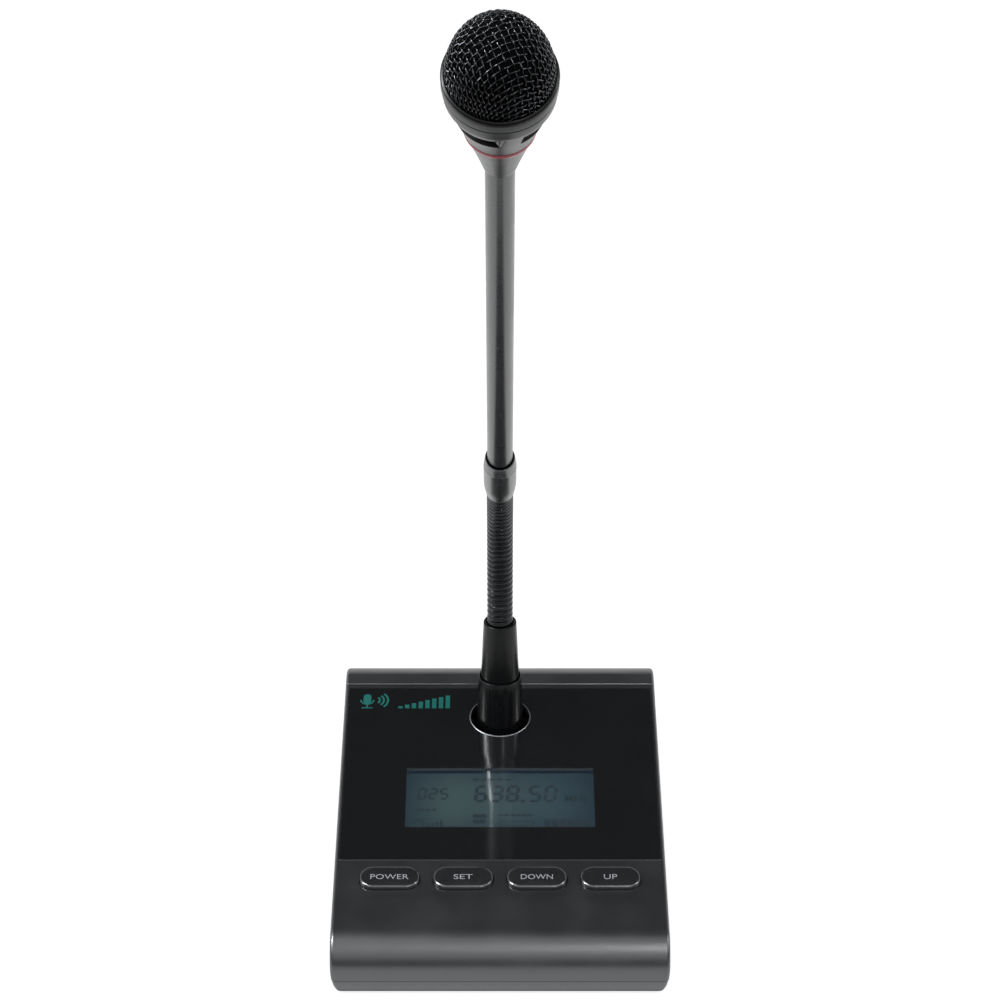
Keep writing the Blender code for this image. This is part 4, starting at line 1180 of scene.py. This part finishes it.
def wire_path(net, keys, first_over):
    """Points of one wire through its crossings: over one, under the next, on the shell between them."""
    points = []
    for index, key in enumerate(keys):
        here = net[key]
        sign = 1 if (index % 2 == 0) == first_over else -1
        following = net[keys[index + 1]] if index + 1 < len(keys) else None
        steps = 1 if following is None else 6
        for step in range(steps):
            t = step / steps
            base = here if following is None else here.lerp(following, t)
            middle, normal = on_dome(base)
            swing = math.cos(math.pi * t)
            swing = math.copysign(abs(swing) ** 0.8, swing)
            points.append(middle + normal * (sign * swing * WIRE_CRIMP))
    return points


def wire_rings(points, sides=8):
    """Rings of a round wire along its points, carried forward without twist."""
    rings, side = [], None
    for index, point in enumerate(points):
        ahead = points[min(index + 1, len(points) - 1)]
        behind = points[max(index - 1, 0)]
        along = (ahead - behind).normalized()
        reference = side or on_dome(point)[1]
        side = (reference - along * reference.dot(along)).normalized()
        up = along.cross(side)
        turn = [2 * math.pi * i / sides for i in range(sides)]
        rings.append([point + WIRE_RADIUS * (side * math.cos(a) + up * math.sin(a)) for a in turn])
    return rings


def foam_arc(inset, start, end):
    circle = arc((0.0, 0.0), 1.0, start, end, 32)
    radius, height = DOME_RADIUS - inset, DOME_HEIGHT - inset
    return [(x * radius if x > 1e-6 else 0.0, DOME_CENTRE + y * height) for x, y in circle]


def unbroken(keys, good):
    """The longest runs of keys that are all good."""
    return [list(run) for known, run in itertools.groupby(keys, good) if known]


def grille():
    """Two sets of crimped wires woven square, pressed into a dome and trimmed inside the seat ring."""
    net = weave_net()
    foot = RIM_END + 0.0006
    reach = max(key[0] for key in net)
    whole = range(-reach, reach + 1)
    bm = bmesh.new()
    for axis, line in itertools.product(range(2), whole):
        keys = [(line, k) if axis else (k, line) for k in whole]
        for run in unbroken(keys, lambda key: key in net and net[key].z > foot - WIRE_PITCH):
            over = (sum(run[0]) + axis) % 2 == 0
            path = [point for point in wire_path(net, run, over) if point.z > foot]
            if len(run) > 1 and len(path) > 3:
                bridge(bm, wire_rings(path))
    mesh = mesh_from(bm, 60.0)
    piece("grille_wires", mesh, "wire", "grille_wire", HEAD, ["grille"], "stem_and_head")


def grille_foam():
    """The foam inside the grille, as a closed shell with a level foot."""
    outside = foam_arc(0.0011, math.pi / 2, 0.0)
    inside = foam_arc(0.0023, 0.0, math.pi / 2)
    foot = RIM_END - 0.0003
    foam = [*outside, (outside[-1][0], foot), (inside[0][0], foot), *inside]
    mesh = lathe(foam, closed=False)
    foam = piece("grille_foam", mesh, "foam", "foam", HEAD, ["foam_lining"], "stem_and_head")


# --- studio

def softbox(name, place, target, size, radiance, diffuse=True):
    """A soft light that shows in reflections but not to the camera. Its power follows from its radiance."""
    light = bpy.data.lights.new(name, "AREA")
    light.shape = "RECTANGLE"
    light.size, light.size_y = size
    light.color = (0.965, 0.985, 1.0)
    light.energy = radiance * math.pi * size[0] * size[1]
    obj = link(name, light)
    obj.location = place
    obj.rotation_euler = (Vector(target) - Vector(place)).to_track_quat("-Z", "Y").to_euler()
    obj.visible_camera = False
    obj.visible_diffuse = diffuse


def studio():
    """A white sweep, floor and low backdrop in one, under a large softbox, with one more at each side."""
    tree = new_material("sweep", roughness=0.8)
    mottle = noise(tree, object_place(tree), 3.0)
    finish_with(tree, blend_colours(tree, mottle, (0.64, 0.64, 0.64), (0.68, 0.68, 0.68)))
    shader_inputs(tree)["Emission Color"].default_value = (1.0, 1.0, 1.0, 1.0)
    shader_inputs(tree)["Emission Strength"].default_value = 0.76
    reach, front, back, bend, height = 5.0, -0.22, 2.6, 0.7, 1.40
    profile = [(front, 0.0), *arc((back - bend, bend), bend, -math.pi / 2, 0.0, 24), (back, height)]
    bm = bmesh.new()
    sides = [[bm.verts.new((x, y, z)) for y, z in profile] for x in (-reach, reach)]
    for i in range(len(profile) - 1):
        bm.faces.new((sides[0][i], sides[1][i], sides[1][i + 1], sides[0][i + 1]))
    sweep = link("sweep", mesh_from(bm))
    paint(sweep.data, "sweep")
    softbox("overhead", (0.0, -0.935, 1.326), (0.0, -0.04, 0.0), (2.6, 2.3), 0.95)
    softbox("key_left", (-0.75, -0.75, 1.10), (0.0, 0.0, 0.10), (0.22, 0.22), 10.0, False)
    softbox("key_right", (0.75, -0.75, 1.10), (0.0, 0.0, 0.10), (0.22, 0.22), 6.0, False)
    softbox("streak_left", (-0.90, -0.04, 1.05), (0.0, 0.06, 0.06), (0.09, 0.70), 105.0, False)
    softbox("streak_front", (0.24, -0.70, 0.95), (0.0, 0.05, 0.08), (0.05, 0.40), 32.0, False)
    for name, side in (("left", -1), ("right", 1)):
        softbox(f"fill_{name}", (1.45 * side, -0.05, 0.80), (0.0, 0.0, 0.10), (1.3, 0.9), 1.3)
        softbox(f"strip_{name}", (1.10 * side, 0.0, 0.95), (0.0, 0.0, 0.05), (0.10, 0.50), 36.0, False)
    world = bpy.data.worlds.new("studio")
    world.use_nodes = True
    tree = world.node_tree
    seen = node(tree, "LightPath").outputs["Is Camera Ray"]
    sky = blend_colours(tree, seen, (0.030, 0.031, 0.034), (1.0, 1.0, 1.0))
    tree.links.new(sky, tree.nodes["Background"].inputs["Color"])
    bpy.context.scene.world = world
    bpy.context.scene.view_settings.view_transform = "Standard"


def camera():
    """A long lens from the front, looking down at the desk."""
    data = bpy.data.cameras.new("camera")
    data.sensor_width, data.lens = 36.0, CAMERA_LENS
    obj = link("camera", data)
    obj.location = DECK.translation + Vector(CAMERA_OFFSET)
    obj.rotation_euler = (math.radians(90.0 - CAMERA_DIP), 0.0, 0.0)
    bpy.context.scene.camera = obj


materials()
studio()
camera()
finish_kept_nodes()
casing_top()
casing_bottom()
panel()
display()
panel_mark()
keys()
collar_and_cone()
neck()
ferrule_and_tube()
head_shell()
vent_cloth()
head_rings()
grille()
grille_foam()
